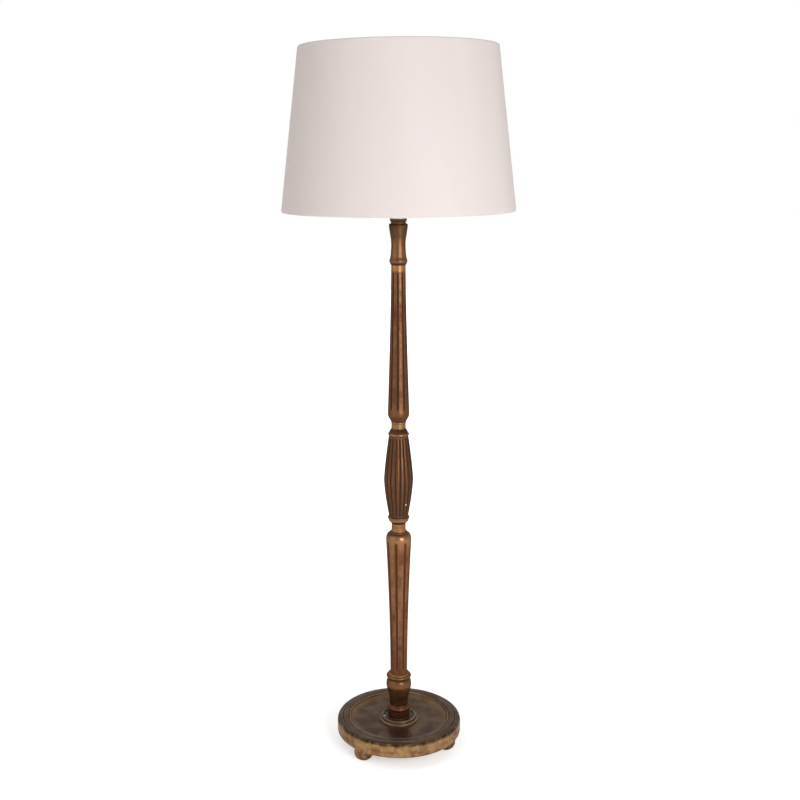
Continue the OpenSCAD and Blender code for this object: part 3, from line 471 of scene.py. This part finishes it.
# In the zone rows below, the dark bands under lips and overhangs are partly painted shade, and the gold bands
# on beads and shoulders are partly painted highlights
shaftGilt = giltFinish(
    "shaft_gilt", tone="bronze", bright=0.15, red=0.5, dark=0.2, groove="rust",
    zones=over("lower_shaft", (0, 0.2, 0.1, 0.3), (14, 0, 0.1, 0.2), (60, 0, 0, 0.1), (290, 0, 0.1, 0.1),
               (318, 0, 0.6, 0), (334, 0.1, 0.6, 0), (339, 0.7, 0, 0), (357, 0.7, 0, 0)))
upperGilt = giltFinish(
    "upper_shaft_gilt", bright=0.1, red=0.4, dark=0.3,
    zones=over("upper_shaft", (0, 0.3, 0.1, 0.5), (22, 0.1, 0.2, 0.5), (60, 0.15, 0, 0.2),
               (300, 0.1, 0, 0.2), (331, 0, 0.1, 0.2), (335, 0, 0.7, 0), (360, 0, 0.7, 0)))
bellyGilt = giltFinish(
    "belly_gilt", tone="umber", thinTone="dusk", bright=0.1, red=0.3, dark=0.2, groove="glazeAndShade",
    rub="brown", chip=(16.1, -20.6, 588, 2.4))
neckGilt = giltFinish(
    "neck_gilt", bright=0.2, red=0.1, dark=0.4, streak="round",
    zones=over("upper_neck", (0, 0.5, 0, 0.2), (2.5, 0.2, 0.3, 0), (8, 0, 0.6, 0), (12, 0.7, 0, 0),
               (18, 0.7, 0, 0), (21, 0, 0.6, 0), (49, 0, 0.6, 0)))
lowNeckGilt = giltFinish(
    "lower_neck_gilt", tone="bronze", bright=0.2, red=0.2, dark=0.1, streak="round",
    zones=over("lower_neck", (0, 0.4, 0.3, 0), (3, 0, 0.5, 0.2), (18, 0, 0.2, 0.4), (23, 0.3, 0, 0.2),
               (29, 0, 0.8, 0), (33, 0.1, 0.6, 0), (36, 0.8, 0, 0), (52, 0.8, 0, 0)))
urnGilt = giltFinish(
    "urn_gilt", tone="umber", thinTone="rust", bright=0.2, red=0.4, dark=0.2, streak="round", groove="glazeAndShade",
    zones=over("lower_urn", (0, 0.3, 0, 0.4), (33, 0.2, 0, 0.6), (46, 0.1, 0.1, 0.5), (58, 0.3, 0, 0.9),
               (72, 0.1, 0.1, 0.7), (94, 0, 0.5, 0.1), (108, 0.1, 0.3, 0.2), (115, 0.3, 0.2, 0),
               (127, 0, 0.8, 0.1)))
# the vase's darker top is painted shade, and its gilded waist is a painted highlight
vaseGilt = giltFinish(
    "vase_gilt", bright=0, red=0.15, dark=0.3, groove="brown", rough=0.32,
    zones=over("top_vase", (0, 0.8, 0, 0.3), (3.5, 0.5, 0, 0.2), (6, 0, 0.3, 0.2), (12, 0, 0.4, 0.1),
               (30, 0, 0.35, 0), (48, 0.1, 0.1, 0), (62, 0.4, 0, 0.1), (91, 0.5, 0, 0.2)))
discGilt = giltFinish(
    "disc_gilt", tone="olive", bright=0, red=0.2, dark=0.5, streak="round",
    zones=over("top_disc", (0, 0.9, 0, 0.3), (3, 0.5, 0, 0.1), (8, 0.4, 0.1, 0)))
footGilt = giltFinish(
    "foot_gilt", tone="sand", thinTone="umber", bright=0, red=0.2, dark=0.8, metal=0.5, rough=0.3,
    streak="round", wearScale=2)


def makeUpperShaft():
    own, foot = upperShaft, lowest("upper_shaft")
    z0, z1 = own["footHeight"] + flutes["margin"] * 0.75, own["height"] - flutes["margin"] * 1.25
    wide, r = own["foot"] / 2, neck["diameter"] / 2
    outline = [(r + 0.4, 0)] + curve([(r + 1, 0.6), (wide - 3, own["footHeight"] * 0.42),
                                      (wide - 0.5, own["footHeight"] * 0.72), (wide, own["footHeight"])])
    heights = heightsFor(z0, z1, flutes["margin"], own["footHeight"] + 2, own["height"])
    outline += [(upperShaftRadius(z), z) for z in heights]
    mesh = turnPiece(section(outline, own["height"]), foot, own["flutes"] * 20, own["turn"])
    groove = (flutes["depth"], z0, z1, flutes["margin"])
    carve(mesh, foot, upperShaftRadius, own["flutes"], own["turn"], groove, fluteCut)
    return finishMesh("upper_fluted_shaft", mesh, "stand", upperGilt, "upper_shaft")


def makeLowerShaft():
    own, foot = lowerShaft, lowest("lower_shaft")
    shoulder = own["height"] - own["shoulder"]
    z0, z1 = flutes["margin"] * 0.8, shoulder - flutes["margin"] * 0.2
    wide = own["top"] / 2
    inner, bead, groove = wide - 7.5, 2.2, 0.5
    outline = [(lowerShaftRadius(z), z) for z in [0] + heightsFor(z0, z1, flutes["margin"], 2, shoulder)]
    outline += arc(inner, shoulder, wide - inner, own["shoulder"] - 3, 0, 90)[1:]
    outline += [(inner - groove, own["height"] - 3 - 2 * groove)]
    outline += arc(inner - groove - bead, own["height"] - bead, bead, bead, 0, 90, 8)
    mesh = turnPiece(section(outline, own["height"]), foot, own["flutes"] * 20, own["turn"])
    groove = (flutes["depth"], z0, z1, flutes["margin"])
    carve(mesh, foot, lowerShaftRadius, own["flutes"], own["turn"], groove, fluteCut)
    return finishMesh("lower_fluted_shaft", mesh, "stand", shaftGilt, "lower_shaft")


belly = {"height": 182, "wide": 66, "foot": 43.6, "top": 44.6, "footPower": 1.48, "topPower": 1.32,
         "wideAt": 84, "reeds": 18, "turn": -3, "depth": 1.5}


def bellyRadius(z):
    own = belly
    if z < own["wideAt"]:
        return bend(own["wide"], own["foot"], (own["wideAt"] - z) / own["wideAt"], own["footPower"]) / 2
    up = (z - own["wideAt"]) / (own["height"] - own["wideAt"])
    return bend(own["wide"], own["top"], up, own["topPower"]) / 2


def makeBelly():
    own, foot = belly, lowest("reeded_belly")
    ends = [0, 0.4, 1, 2]
    heights = ends + list(np.linspace(4, own["height"] - 4, 60)) + [own["height"] - e for e in reversed(ends)]
    outline = [(bellyRadius(z), z) for z in heights]
    mesh = turnPiece(section(outline, own["height"]), foot, own["reeds"] * 12, own["turn"] + 10)
    carve(mesh, foot, bellyRadius, own["reeds"], own["turn"], (own["depth"], 0, own["height"], 2), reedCut)
    return finishMesh("reeded_belly_section", mesh, "stand", bellyGilt, "reeded_belly")


def makeUrn():
    own = {"height": 110, "wide": 57.5, "foot": 42, "collar": 49.4, "bead": 52.6, "ring": 57,
           "collarHeight": 17, "beadHeight": 10, "footHeight": 3, "ovolo": 4.7, "ringHeight": 8, "groove": 3}
    r, wide, ring = own["foot"] / 2, own["wide"] / 2, own["ringHeight"] / 2
    ringZ = own["height"] - own["ovolo"] - own["ringHeight"]
    bodyZ = own["collarHeight"] + own["beadHeight"] + own["footHeight"]
    body, beadZ = ringZ - own["groove"] - bodyZ, own["collarHeight"] + own["beadHeight"] / 2
    shaft, ringR = lowerShaft["foot"] / 2, own["ring"] / 2
    outline = [(own["collar"] / 2, 0), (own["collar"] / 2, own["collarHeight"] - 0.5),
               (own["collar"] / 2 - 0.5, own["collarHeight"])]
    outline += arc(r + 2, beadZ, own["bead"] / 2 - r - 2, own["beadHeight"] / 2, -80, 90)
    outline += curve([(r, bodyZ), (bend(r, wide, 0.13), bodyZ + body * 0.24),
                      (bend(r, wide, 0.52), bodyZ + body * 0.48), (wide, bodyZ + body * 0.74),
                      (wide - 0.9, bodyZ + body * 0.92), (wide - 3.4, ringZ - own["groove"])])
    outline += [(wide - 3.4, ringZ)] + arc(ringR - ring, ringZ + ring, ring, ring, -75, 75, 16)
    outline += [(ringR - 3.6, ringZ + 2 * ring)]
    outline += arc(shaft, ringZ + 2 * ring, ringR - 3.4 - shaft, own["ovolo"], 12, 90, 12)
    foot = highest("lower_urn") - joints["spigotLength"] - own["height"]
    mesh = turnPiece(section(dense(outline), own["height"], socket=False, tenon=True), foot)
    return finishMesh("urn_section", mesh, "stand", urnGilt, "lower_urn")


def makeLowerNeck():
    own = {"height": 38.5, "collar": 49, "bead": 3.2, "flare": 10, "lip": 1.5}
    r, wide = neck["diameter"] / 2, own["collar"] / 2
    beadZ = own["height"] - own["lip"] - 2 * own["bead"]
    flareZ = beadZ - own["flare"]
    outline = curve([(r + 0.6, 0), (r, flareZ * 0.6), (r + 0.2, flareZ)])
    outline += curve([(r + 0.5, flareZ + 0.4), (bend(r, wide, 0.38), flareZ + own["flare"] * 0.25),
                      (bend(r, wide, 0.72), flareZ + own["flare"] * 0.6), (wide - 1, beadZ + 0.8)])
    outline += arc(wide - own["bead"], beadZ + own["bead"], own["bead"], own["bead"], -30, 75)
    outline += [(wide - 2.4, own["height"] - own["lip"]), (wide - 2.4, own["height"])]
    mesh = turnPiece(section(dense(outline), own["height"]), lowest("lower_neck"))
    return finishMesh("lower_neck_section", mesh, "stand", lowNeckGilt, "lower_neck")


def makeUpperNeck():
    own = {"height": 35, "collar": 46.8, "lip": 2.5, "bead": 8, "cone": 8.5, "fillet": 1.5}
    r, wide, bead = neck["diameter"] / 2, own["collar"] / 2, own["bead"] / 2
    coneZ = own["lip"] + own["bead"]
    outline = [(wide - 1.8, 0), (wide - 1.6, own["lip"])]
    outline += arc(wide - bead, own["lip"] + bead, bead, bead, -60, 60)
    outline += curve([(wide - 2, coneZ), (bend(r, wide, 0.45), coneZ + own["cone"] * 0.5),
                      (r + 0.6, coneZ + own["cone"]), (r, coneZ + own["cone"] + 2)])
    outline += [(r, own["height"] - 2 * own["fillet"])]
    outline += arc(r, own["height"] - own["fillet"], 0.9, own["fillet"], -90, 90, 10)
    mesh = turnPiece(section(dense(outline), own["height"]), lowest("upper_neck"))
    return finishMesh("upper_neck_section", mesh, "stand", neckGilt, "upper_neck")


disc = {"diameter": 37.6, "height": 8}


def makeVase():
    own = {"height": 91, "top": 40.8, "waist": 31, "bead": 39, "nut": 17}
    h, r, topZ = own["height"], upperShaft["top"] / 2, own["height"] - 7
    outline = [(r - 0.2, 0), (r - 0.2, 0.8), (r + 1.4, 1.4)]
    bead, waist, top, neckR = own["bead"] / 2, own["waist"] / 2, own["top"] / 2, disc["diameter"] / 2 - 3
    outline += curve([(bead - 1.4, 4.5), (bead, 9.5), (bead - 2.4, 9.5 + h * 0.1), (waist + 0.4, h * 0.36),
                      (waist, h * 0.47), (waist + 0.6, h * 0.6), (top - 2, h * 0.76), (top, topZ)])
    outline += arc(top - 3.5, topZ + 1, 3.5, 4, 0, 90, 10) + [(neckR, topZ + 5), (neckR, h)]
    pocket = own["nut"] / 2 / math.cos(math.pi / 6) + 0.6       # room for the tube's nut
    bore = joints["bore"]
    closed = [(joints["socket"], 0)] + dense(outline) + [
        (pocket, h), (pocket, h - 6), (bore, h - 6), (bore, joints["spigotLength"] + 1),
        (joints["socket"], joints["spigotLength"] + 1)]
    mesh = turnPiece(closed, lowest("top_vase"))
    return finishMesh("vase_section", mesh, "stand", vaseGilt, "top_vase")


def makeDisc():
    r, h, bore = disc["diameter"] / 2, disc["height"], joints["bore"]
    outline = curve([(r - 2.4, 0), (r - 1.7, h * 0.35), (r - 0.5, h * 0.65)])
    outline += arc(r - 1, h - 1.2, 1, 1.2, -60, 90, 8)
    mesh = turnPiece([(bore, 0)] + dense(outline) + [(bore, h)], lowest("top_disc"), 96)
    return finishMesh("top_disc_turned", mesh, "stand", discGilt, "top_disc")


for make in (makeUpperShaft, makeLowerShaft, makeBelly, makeUrn, makeLowerNeck, makeUpperNeck, makeVase,
             makeDisc):
    piece = make()
    print("column:", piece.name, len(piece.data.polygons), "faces")

base = {
    "diameter": 287, "thick": 34, "shoulder": 9, "lowerEdge": 3,
    "ring": 248, "ringWidth": 12, "ringRise": 1.6, "groove": 2,
    "dish": 228, "dishDepth": 9, "wall": 20,
    "recess": 184, "recessDepth": 12,
    "cordHeight": 9, "cordHole": 12.2, "cordFlange": 17.2,
    "feetRadius": 113, "feetTurn": -45,
}
boss = {"diameter": 90, "step": 4, "height": 7.5, "bead": 75, "beadRadius": 2.4}
sideGilt = giltFinish(
    "base_side_gilt", tone="sand", thinTone="bronze", bright=0, red=0.3, dark=0.35, streak="round",
    wearScale=2.2, metal=0.4, rough=0.33, rub="sand",
    zones=over("base_disc", (0, 0.25, 0, 0.2), (4, 0.05, 0, 0.1), (23, 0, 0, 0.05), (26, 0.1, 0, 0.1),
               (29, 0.85, 0, 0), (34, 0.85, 0, 0)))
# the ring edges of the dish and the boss take the silver rub colour as a painted sheen
dishGilt = giltFinish(
    "base_dish_gilt", tone="ash", thinTone="dusk", bright=0, red=0.2, dark=0.4, groove="glazeAndShade", rub="silver",
    streak="round", metal=0.65, rough=0.25, varnish=0.1, chip=(-33.3, -4.8, 65, 3.2),
    zones=over("base_disc", (0, 0.2, 0, 0), (25.3, 0.2, 0, 0), (26, 0.1, 0.2, 0.4), (31, 0, 0.6, 0.4),
               (32.5, 0.65, 0, 0.1), (36, 0.35, 0.15, 0)))


def cutHole(piece, radius, y0, y1, z):
    # bores a hole towards the back with a boolean, and applies it
    mesh = bmesh.new()
    turn = Matrix.Translation((0, (y0 + y1) / 2 * mm, z * mm)) @ Matrix.Rotation(math.pi / 2, 4, "X")
    bmesh.ops.create_cone(mesh, cap_ends=True, segments=48, radius1=radius * mm, radius2=radius * mm,
                          depth=(y1 - y0) * mm, matrix=turn)
    data = bpy.data.meshes.new("cutter")
    mesh.to_mesh(data)
    mesh.free()
    cutter = bpy.data.objects.new("cutter", data)
    bpy.context.scene.collection.objects.link(cutter)
    cut = piece.modifiers.new("cut", "BOOLEAN")
    cut.operation, cut.solver, cut.object = "DIFFERENCE", "EXACT", cutter
    shape = bpy.data.meshes.new_from_object(piece.evaluated_get(bpy.context.evaluated_depsgraph_get()))
    piece.modifiers.clear()
    shape.name = piece.name
    piece.data = shape
    bpy.data.objects.remove(cutter)


def makeBase():
    own = base
    r, ring, half, dish = own["diameter"] / 2, own["ring"] / 2, own["ringWidth"] / 2, own["dish"] / 2
    g, t, e, s = own["groove"], own["thick"], own["lowerEdge"], own["shoulder"]
    outline = [(own["recess"] / 2, 0)]
    outline += arc(r - e, e, e, e, -90, 0, 6) + arc(r - s, t - s, s, s, 0, 90, 16)
    outline += [(ring + half + g, t), (ring + half, t - g)]
    outline += arc(ring, t - g / 2, half, own["ringRise"] + g / 2, 0, 180, 24) + [(ring - half, t - g)]
    outline += arc(dish + 1, t - 1, 1.4, 1, 60, 180, 8)
    outline += arc(dish - own["wall"], t - 1.4, own["wall"] - 0.6, own["dishDepth"] - 1.4, 0, -90, 20)
    floor = t - own["dishDepth"]
    tenon, deep = joints["tenon"] + 0.1, floor + boss["height"] - joints["tenonLength"] - 0.5
    outline += [(tenon, floor), (tenon, deep), (joints["bore"], deep),
                (joints["bore"], own["recessDepth"]), (own["recess"] / 2, own["recessDepth"])]
    mesh = turnPiece(dense(outline, 2.5), lowest("base_disc"), 200)
    piece = finishMesh("base_dish", mesh, "stand", [dishGilt, sideGilt], "base_disc")
    # the hole for the cord's bush, with room for its flange
    cord = lowest("base_disc") + own["cordHeight"]
    cutHole(piece, own["cordHole"] / 2, own["recess"] / 2 - 2, r + 4, cord)
    cutHole(piece, own["cordFlange"] / 2, r - 2.5, r + 4, cord)
    # the side and the underside get the lighter gold
    edge, under = (r - s * 0.45) * mm, (cord + 5) * mm
    for face in piece.data.polygons:
        out = math.hypot(face.center.x, face.center.y)
        face.material_index = 1 if out > edge or face.center.z < under else 0
    return piece


def makeBoss():
    own = boss
    r, bead, b, h = own["diameter"] / 2, own["bead"] / 2, own["beadRadius"], own["height"]
    outline = [(joints["tenon"] + 0.1, 0), (r, 0)] + arc(r - 1.6, own["step"] - 1.6, 1.6, 1.6, 0, 90, 8)
    outline += arc(r - 2.4, h - 0.5, r - 2.4 - bead - b, h - 0.5 - own["step"], -90, -180, 10)
    outline += arc(bead, h, b, b, 0, 180, 14) + [(joints["tenon"] + 0.1, h)]
    mesh = turnPiece(dense(outline), lowest("base_boss"))
    return finishMesh("boss_rings", mesh, "stand", dishGilt, "base_boss")


def makeFoot(name, node, turn):
    own = {"height": 32, "wide": 44, "sole": 26, "fall": 4, "screwHole": 2.7, "head": 5.15, "recess": 5}
    sole, wide, h = own["sole"] / 2, own["wide"] / 2, own["height"]
    outline = [(own["head"], 0), (sole, 0)]
    outline += arc(sole, h * 0.45, wide - sole, h * 0.45, -75, 68, 22)
    outline += [(wide - 4, h - own["fall"]), (wide - 2, h - own["fall"] + 0.8), (wide - 2, h)]
    outline += [(own["screwHole"], h), (own["screwHole"], own["recess"]), (own["head"], own["recess"])]
    angle = math.radians(turn)
    at = (base["feetRadius"] * math.sin(angle), -base["feetRadius"] * math.cos(angle))
    mesh = turnPiece(dense(outline), lowest(node), 72, at=at)
    return finishMesh(name, mesh, "stand", footGilt, node)


makeBase()
makeBoss()
feet = ("foot_front_left", "foot_right", "foot_back")
for i, node in enumerate(feet):
    makeFoot("bun_" + node, node, base["feetTurn"] + 360 / len(feet) * i)
print("base, boss and three feet ready")


# linen, rolled round the two wires
shade = {
    "bottom": 500, "top": 418, "height": 339,
    "hem": 3.2, "cloth": 0.8,    # radius of the rolled hems, thickness of the cloth
    "linen": (235, 229, 227), "warm": (233, 225, 220), "cool": (230, 223, 224),
    "slub": (208, 198, 194), "gap": (202, 192, 188),
    "threads": 620,              # threads to the metre
    "seamWidth": 14, "seamThick": 0.4,
}
shadeFoot = lowest("shade_fabric")
shadeSlope = (shade["bottom"] - shade["top"]) / 2 / shade["height"]


def shadeRadius(z):
    return shade["bottom"] / 2 - (z - shadeFoot) * shadeSlope


def linenFinish():
    finish, tree, shader = newFinish("linen")
    flat = put(tree, "UVMap", uv_map="cut").outputs["UV"]
    split = put(tree, "SeparateXYZ", {0: flat})
    threads = shade["threads"] * math.pi
    warp = math2(tree, "SINE", math2(tree, "MULTIPLY", split.outputs["X"], threads), 0)
    weft = math2(tree, "SINE", math2(tree, "MULTIPLY", split.outputs["Y"], threads), 0)
    weave = math2(tree, "MULTIPLY", warp, weft)
    across = put(tree, "Mapping", {"Vector": flat, "Scale": (1, 0.03, 1)}).outputs[0]
    along = put(tree, "Mapping", {"Vector": flat, "Scale": (0.03, 1, 1)}).outputs[0]
    slubs = noise(tree, across, 900, 3, 0.6)
    slubs2 = noise(tree, along, 900, 3, 0.6)
    bands = noise(tree, put(tree, "Mapping", {"Vector": flat, "Scale": (1, 0.12, 1)}).outputs[0], 14, 3, 0.5)
    colour = mixed(tree, spread(tree, bands, 0.35, 0.65), rgb(*shade["warm"]), rgb(*shade["linen"]))
    colour = mixed(tree, spread(tree, slubs, 0.35, 0.7, 0, 0.5), colour, rgb(*shade["cool"]))
    thick = math2(tree, "ADD", slubs, slubs2)
    colour = mixed(tree, spread(tree, thick, 0.85, 1.35, 0.06, 0), colour, rgb(*shade["slub"]))
    colour = mixed(tree, spread(tree, weave, -1, 1, 0.05, 0), colour, rgb(*shade["gap"]))
    tree.links.new(colour, shader.inputs["Base Color"])
    setSockets(shader, Roughness=0.92, Sheen_Weight=0.12, Sheen_Roughness=0.5, Specular_IOR_Level=0.2)
    height = math2(tree, "ADD", math2(tree, "MULTIPLY", weave, 0.5), thick)
    normal = bumped(tree, height, 0.35, 0.0004)
    tree.links.new(normal, shader.inputs["Normal"])
    glow = put(tree, "BsdfTranslucent", {"Color": rgb(246, 238, 234), "Normal": normal})
    cloth = put(tree, "MixShader", {0: 0.3, 1: shader.outputs[0], 2: glow.outputs[0]})
    tree.links.new(cloth.outputs[0], tree.nodes["Material Output"].inputs["Surface"])
    return finish


def clothOutline():
    # the cloth from the tail of the bottom roll, up the outside, to the tail of the top roll
    hem, thick = shade["hem"], shade["cloth"]
    low, high = shadeFoot + hem, highest("shade_fabric") - hem
    lowR, highR = shadeRadius(low) - hem, shadeRadius(high) - hem
    bore = hem - thick
    outer = arc(lowR, low, hem, hem, 150, 360, 16) + arc(highR, high, hem, hem, 0, 210, 16)
    inner = arc(highR, high, bore, bore, 210, 0, 12) + arc(lowR, low, bore, bore, 360, 150, 12)
    return outer + inner


def flattened(mesh, clothLayer):
    # lays the cone out flat, as the cloth was cut, so that the threads run straight
    slant = math.atan(shadeSlope)
    apex = shade["bottom"] / 2 * mm / math.sin(slant)
    for face in mesh.faces:
        middle = face.calc_center_median()
        centre = math.atan2(middle.y, middle.x)
        for corner in face.loops:
            co = corner.vert.co
            angle = math.atan2(co.y, co.x)
            angle += math.tau * round((centre - angle) / math.tau)
            down = apex - (co.z - shadeFoot * mm) / math.cos(slant)
            turn = angle * math.sin(slant)
            corner[clothLayer].uv = (down * math.sin(turn), down * math.cos(turn))


def makeSeam(linen):
    # the overlap down the back, where the two ends of the cloth meet
    strip = bmesh.new()
    low, high = shadeFoot + 2 * shade["hem"], highest("shade_fabric") - 2 * shade["hem"]
    bmesh.ops.create_grid(strip, x_segments=4, y_segments=24, size=0.5)
    for vert in strip.verts:
        z = bend(low, high, vert.co.y + 0.5)
        radius = shadeRadius(z) + 0.05
        angle = math.pi / 2 + vert.co.x * shade["seamWidth"] / radius
        vert.co = (radius * mm * math.cos(angle), radius * mm * math.sin(angle), z * mm)
    flattened(strip, strip.loops.layers.uv.new("cut"))
    bmesh.ops.recalc_face_normals(strip, faces=strip.faces)
    if strip.faces[0].normal.y < 0:
        bmesh.ops.reverse_faces(strip, faces=strip.faces)
    bmesh.ops.solidify(strip, geom=strip.faces, thickness=-shade["seamThick"] * mm)
    return finishMesh("shade_seam", strip, "shade", linen)


def makeShade():
    mesh = turnPiece(dense(clothOutline(), 12), 0, 240, 180)
    flattened(mesh, mesh.loops.layers.uv.new("cut"))
    linen = linenFinish()
    cloth = finishMesh("shade_linen", mesh, "shade", linen, "shade_fabric", sharp=60)
    seam = makeSeam(linen)


makeShade()
print("shade ready")


def plainFinish(name, colour, rough, metal, mottle, size=900, bump=0.1, **sockets):
    finish, tree, shader = newFinish(name)
    where = places(tree)
    fine, broad = noise(tree, where, size, 3), noise(tree, where, size / 18, 3)
    darker = tuple(c * (1 - mottle) for c in rgb(*colour)[:3]) + (1,)
    mottled = mixed(tree, spread(tree, broad, 0.35, 0.65), darker, rgb(*colour))
    tree.links.new(mottled, shader.inputs["Base Color"])
    roughness = spread(tree, fine, 0.3, 0.7, rough * 0.85, min(1, rough * 1.15))
    tree.links.new(roughness, shader.inputs["Roughness"])
    tree.links.new(bumped(tree, fine, bump, 0.0003), shader.inputs["Normal"])
    shader.inputs["Metallic"].default_value = metal
    setSockets(shader, **sockets)
    return finish


finishes = {                    # screen colour, roughness, metal, mottling, grain, bump
    "steel": plainFinish("zinc_steel", (176, 178, 182), 0.32, 1, 0.2),
    "brass": plainFinish("brass", (205, 168, 92), 0.28, 1, 0.15),
    "iron": plainFinish("black_iron", (52, 52, 54), 0.6, 0.3, 0.3, 400, 0.5),
    "felt": plainFinish("green_felt", (44, 52, 42), 1.0, 0, 0.3, 2400, 0.8, Sheen_Weight=0.5),
    "cream": plainFinish("cream_plastic", (238, 230, 210), 0.34, 0, 0.05),
    "tan": plainFinish("tan_plastic", (206, 184, 140), 0.36, 0, 0.06),
    "porcelain": plainFinish("porcelain", (236, 232, 224), 0.22, 0, 0.04, Coat_Weight=0.5),
    "black": plainFinish("black_plastic", (26, 26, 27), 0.42, 0, 0.1),
    "nickel": plainFinish("nickel_cap", (196, 196, 192), 0.25, 1, 0.12),
    "wire": plainFinish("white_wire", (232, 230, 224), 0.4, 0, 0.08),
    "solder": plainFinish("solder", (150, 150, 148), 0.45, 0.9, 0.2),
    "filament": plainFinish("filament", (96, 92, 88), 0.4, 1, 0.1),
}


def linerFinish():
    finish, tree, shader = newFinish("white_liner")
    where = places(tree)
    fine = noise(tree, where, 300, 3)
    colour = mixed(tree, spread(tree, fine, 0.3, 0.7), rgb(246, 242, 236), rgb(250, 248, 244))
    tree.links.new(colour, shader.inputs["Base Color"])
    setSockets(shader, Roughness=0.6)
    normal = bumped(tree, fine, 0.05, 0.0003)
    tree.links.new(normal, shader.inputs["Normal"])
    glow = put(tree, "BsdfTranslucent", {"Color": rgb(250, 246, 240), "Normal": normal})
    both = put(tree, "MixShader", {0: 0.45, 1: shader.outputs[0], 2: glow.outputs[0]})
    tree.links.new(both.outputs[0], tree.nodes["Material Output"].inputs["Surface"])
    return finish


def glassFinish(name, frost):
    finish, tree, shader = newFinish(name)
    fine = noise(tree, places(tree), 140, 2)
    tree.links.new(spread(tree, fine, 0.3, 0.7, frost, frost + 0.04), shader.inputs["Roughness"])
    setSockets(shader, Base_Color=(0.96, 0.97, 0.97, 1), Transmission_Weight=0.96, IOR=1.45)
    return finish


finishes["liner"] = linerFinish()
finishes["pearl"] = glassFinish("pearl_glass", 0.28)
finishes["clear"] = glassFinish("clear_glass", 0.02)

innerPieces = {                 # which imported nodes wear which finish
    "steel": ["foot_screws", "weight_screws", "threaded_tube", "bottom_washer", "bottom_nut", "top_nut"],
    "iron": ["weight_plate"],
    "felt": ["pad_front_left", "pad_right", "pad_back"],
    "black": ["cord_bush", "bulb_insulator"],
    "cream": ["holder_cap", "holder_skirt", "clamp_ring"],
    "tan": ["switch_bar"],
    "porcelain": ["holder_insert"],
    "brass": ["screw_shell", "centre_contact", "terminal_screws"],
    "nickel": ["bulb_cap"],
    "solder": ["bulb_tip"],
    "pearl": ["bulb_glass"],
    "clear": ["bulb_stem"],
    "filament": ["bulb_filament"],
    "liner": ["shade_liner"],
    "wire": ["shade_top_wire", "shade_bottom_frame"],
}
for key, nodes in innerPieces.items():
    for node in nodes:
        slots = cadNodes[node].data.materials
        slots.clear()
        slots.append(finishes[key])
print("inner pieces ready")

studio = {
    "floor": (250, 249, 248),
    "floorSize": 9,
    "floorGlow": {"near": 0.4, "far": 2.0, "atLamp": 0.45},      # metres, and its share near the lamp
    "aim": (0, 0, 0.9),
    "world": 0.49,
    "key": {"power": 35, "at": (1.05, -2.0, 1.1), "wide": 1.2, "high": 1.4},
    "fill": {"power": 16, "at": (-2.1, -1.2, 1.6), "wide": 2.2, "high": 2.2},
}


def seenDirectly(tree):
    # 1 for rays from the camera, in mirrors and through glass
    path = put(tree, "LightPath")
    seen = math2(tree, "MAXIMUM", path.outputs["Is Camera Ray"], path.outputs["Is Glossy Ray"])
    return math2(tree, "MAXIMUM", seen, path.outputs["Is Transmission Ray"])


def addFloor():
    mesh = bmesh.new()
    bmesh.ops.create_grid(mesh, x_segments=8, y_segments=8, size=studio["floorSize"])
    data = bpy.data.meshes.new("floor")
    mesh.to_mesh(data)
    mesh.free()
    floor = bpy.data.objects.new("floor", data)
    bpy.context.scene.collection.objects.link(floor)
    finish, tree, shader = newFinish("pale_floor")
    setSockets(shader, Base_Color=rgb(*studio["floor"]), Roughness=0.9, Specular_IOR_Level=0.1)
    # white further out, and dim enough near the lamp to keep its shadow
    glow, where = studio["floorGlow"], put(tree, "TexCoord").outputs["Object"]
    away = put(tree, "VectorMath", {0: where}, operation="LENGTH").outputs["Value"]
    far = spread(tree, away, glow["near"], glow["far"], glow["atLamp"], 1)
    strength = math2(tree, "MULTIPLY", far, seenDirectly(tree))
    lift = put(tree, "Emission", {"Color": (1, 1, 1, 1), "Strength": strength})
    both = put(tree, "AddShader", {0: shader.outputs[0], 1: lift.outputs[0]})
    tree.links.new(both.outputs[0], tree.nodes["Material Output"].inputs["Surface"])
    data.materials.append(finish)


def addWorld():
    world = bpy.data.worlds.new("studio")
    bpy.context.scene.world = world
    world.use_nodes = True
    tree = world.node_tree
    background = tree.nodes["Background"]
    background.inputs["Color"].default_value = (1, 1, 1, 1)
    strength = spread(tree, seenDirectly(tree), 0, 1, studio["world"], 1)
    tree.links.new(strength, background.inputs["Strength"])


def addLamp(name, power, at, wide, high):
    light = bpy.data.lights.new(name, "AREA")
    light.shape, light.size, light.size_y, light.energy = "RECTANGLE", wide, high, power
    lamp = bpy.data.objects.new(name, light)
    bpy.context.scene.collection.objects.link(lamp)
    lamp.location = at
    lamp.rotation_mode = "QUATERNION"
    lamp.rotation_quaternion = (Vector(studio["aim"]) - Vector(at)).to_track_quat("-Z", "Y")
    lamp.visible_camera = False


addFloor()
addWorld()
addLamp("key", **studio["key"])
addLamp("fill", **studio["fill"])
bpy.context.scene.view_settings.view_transform = "Standard"
print("studio ready")
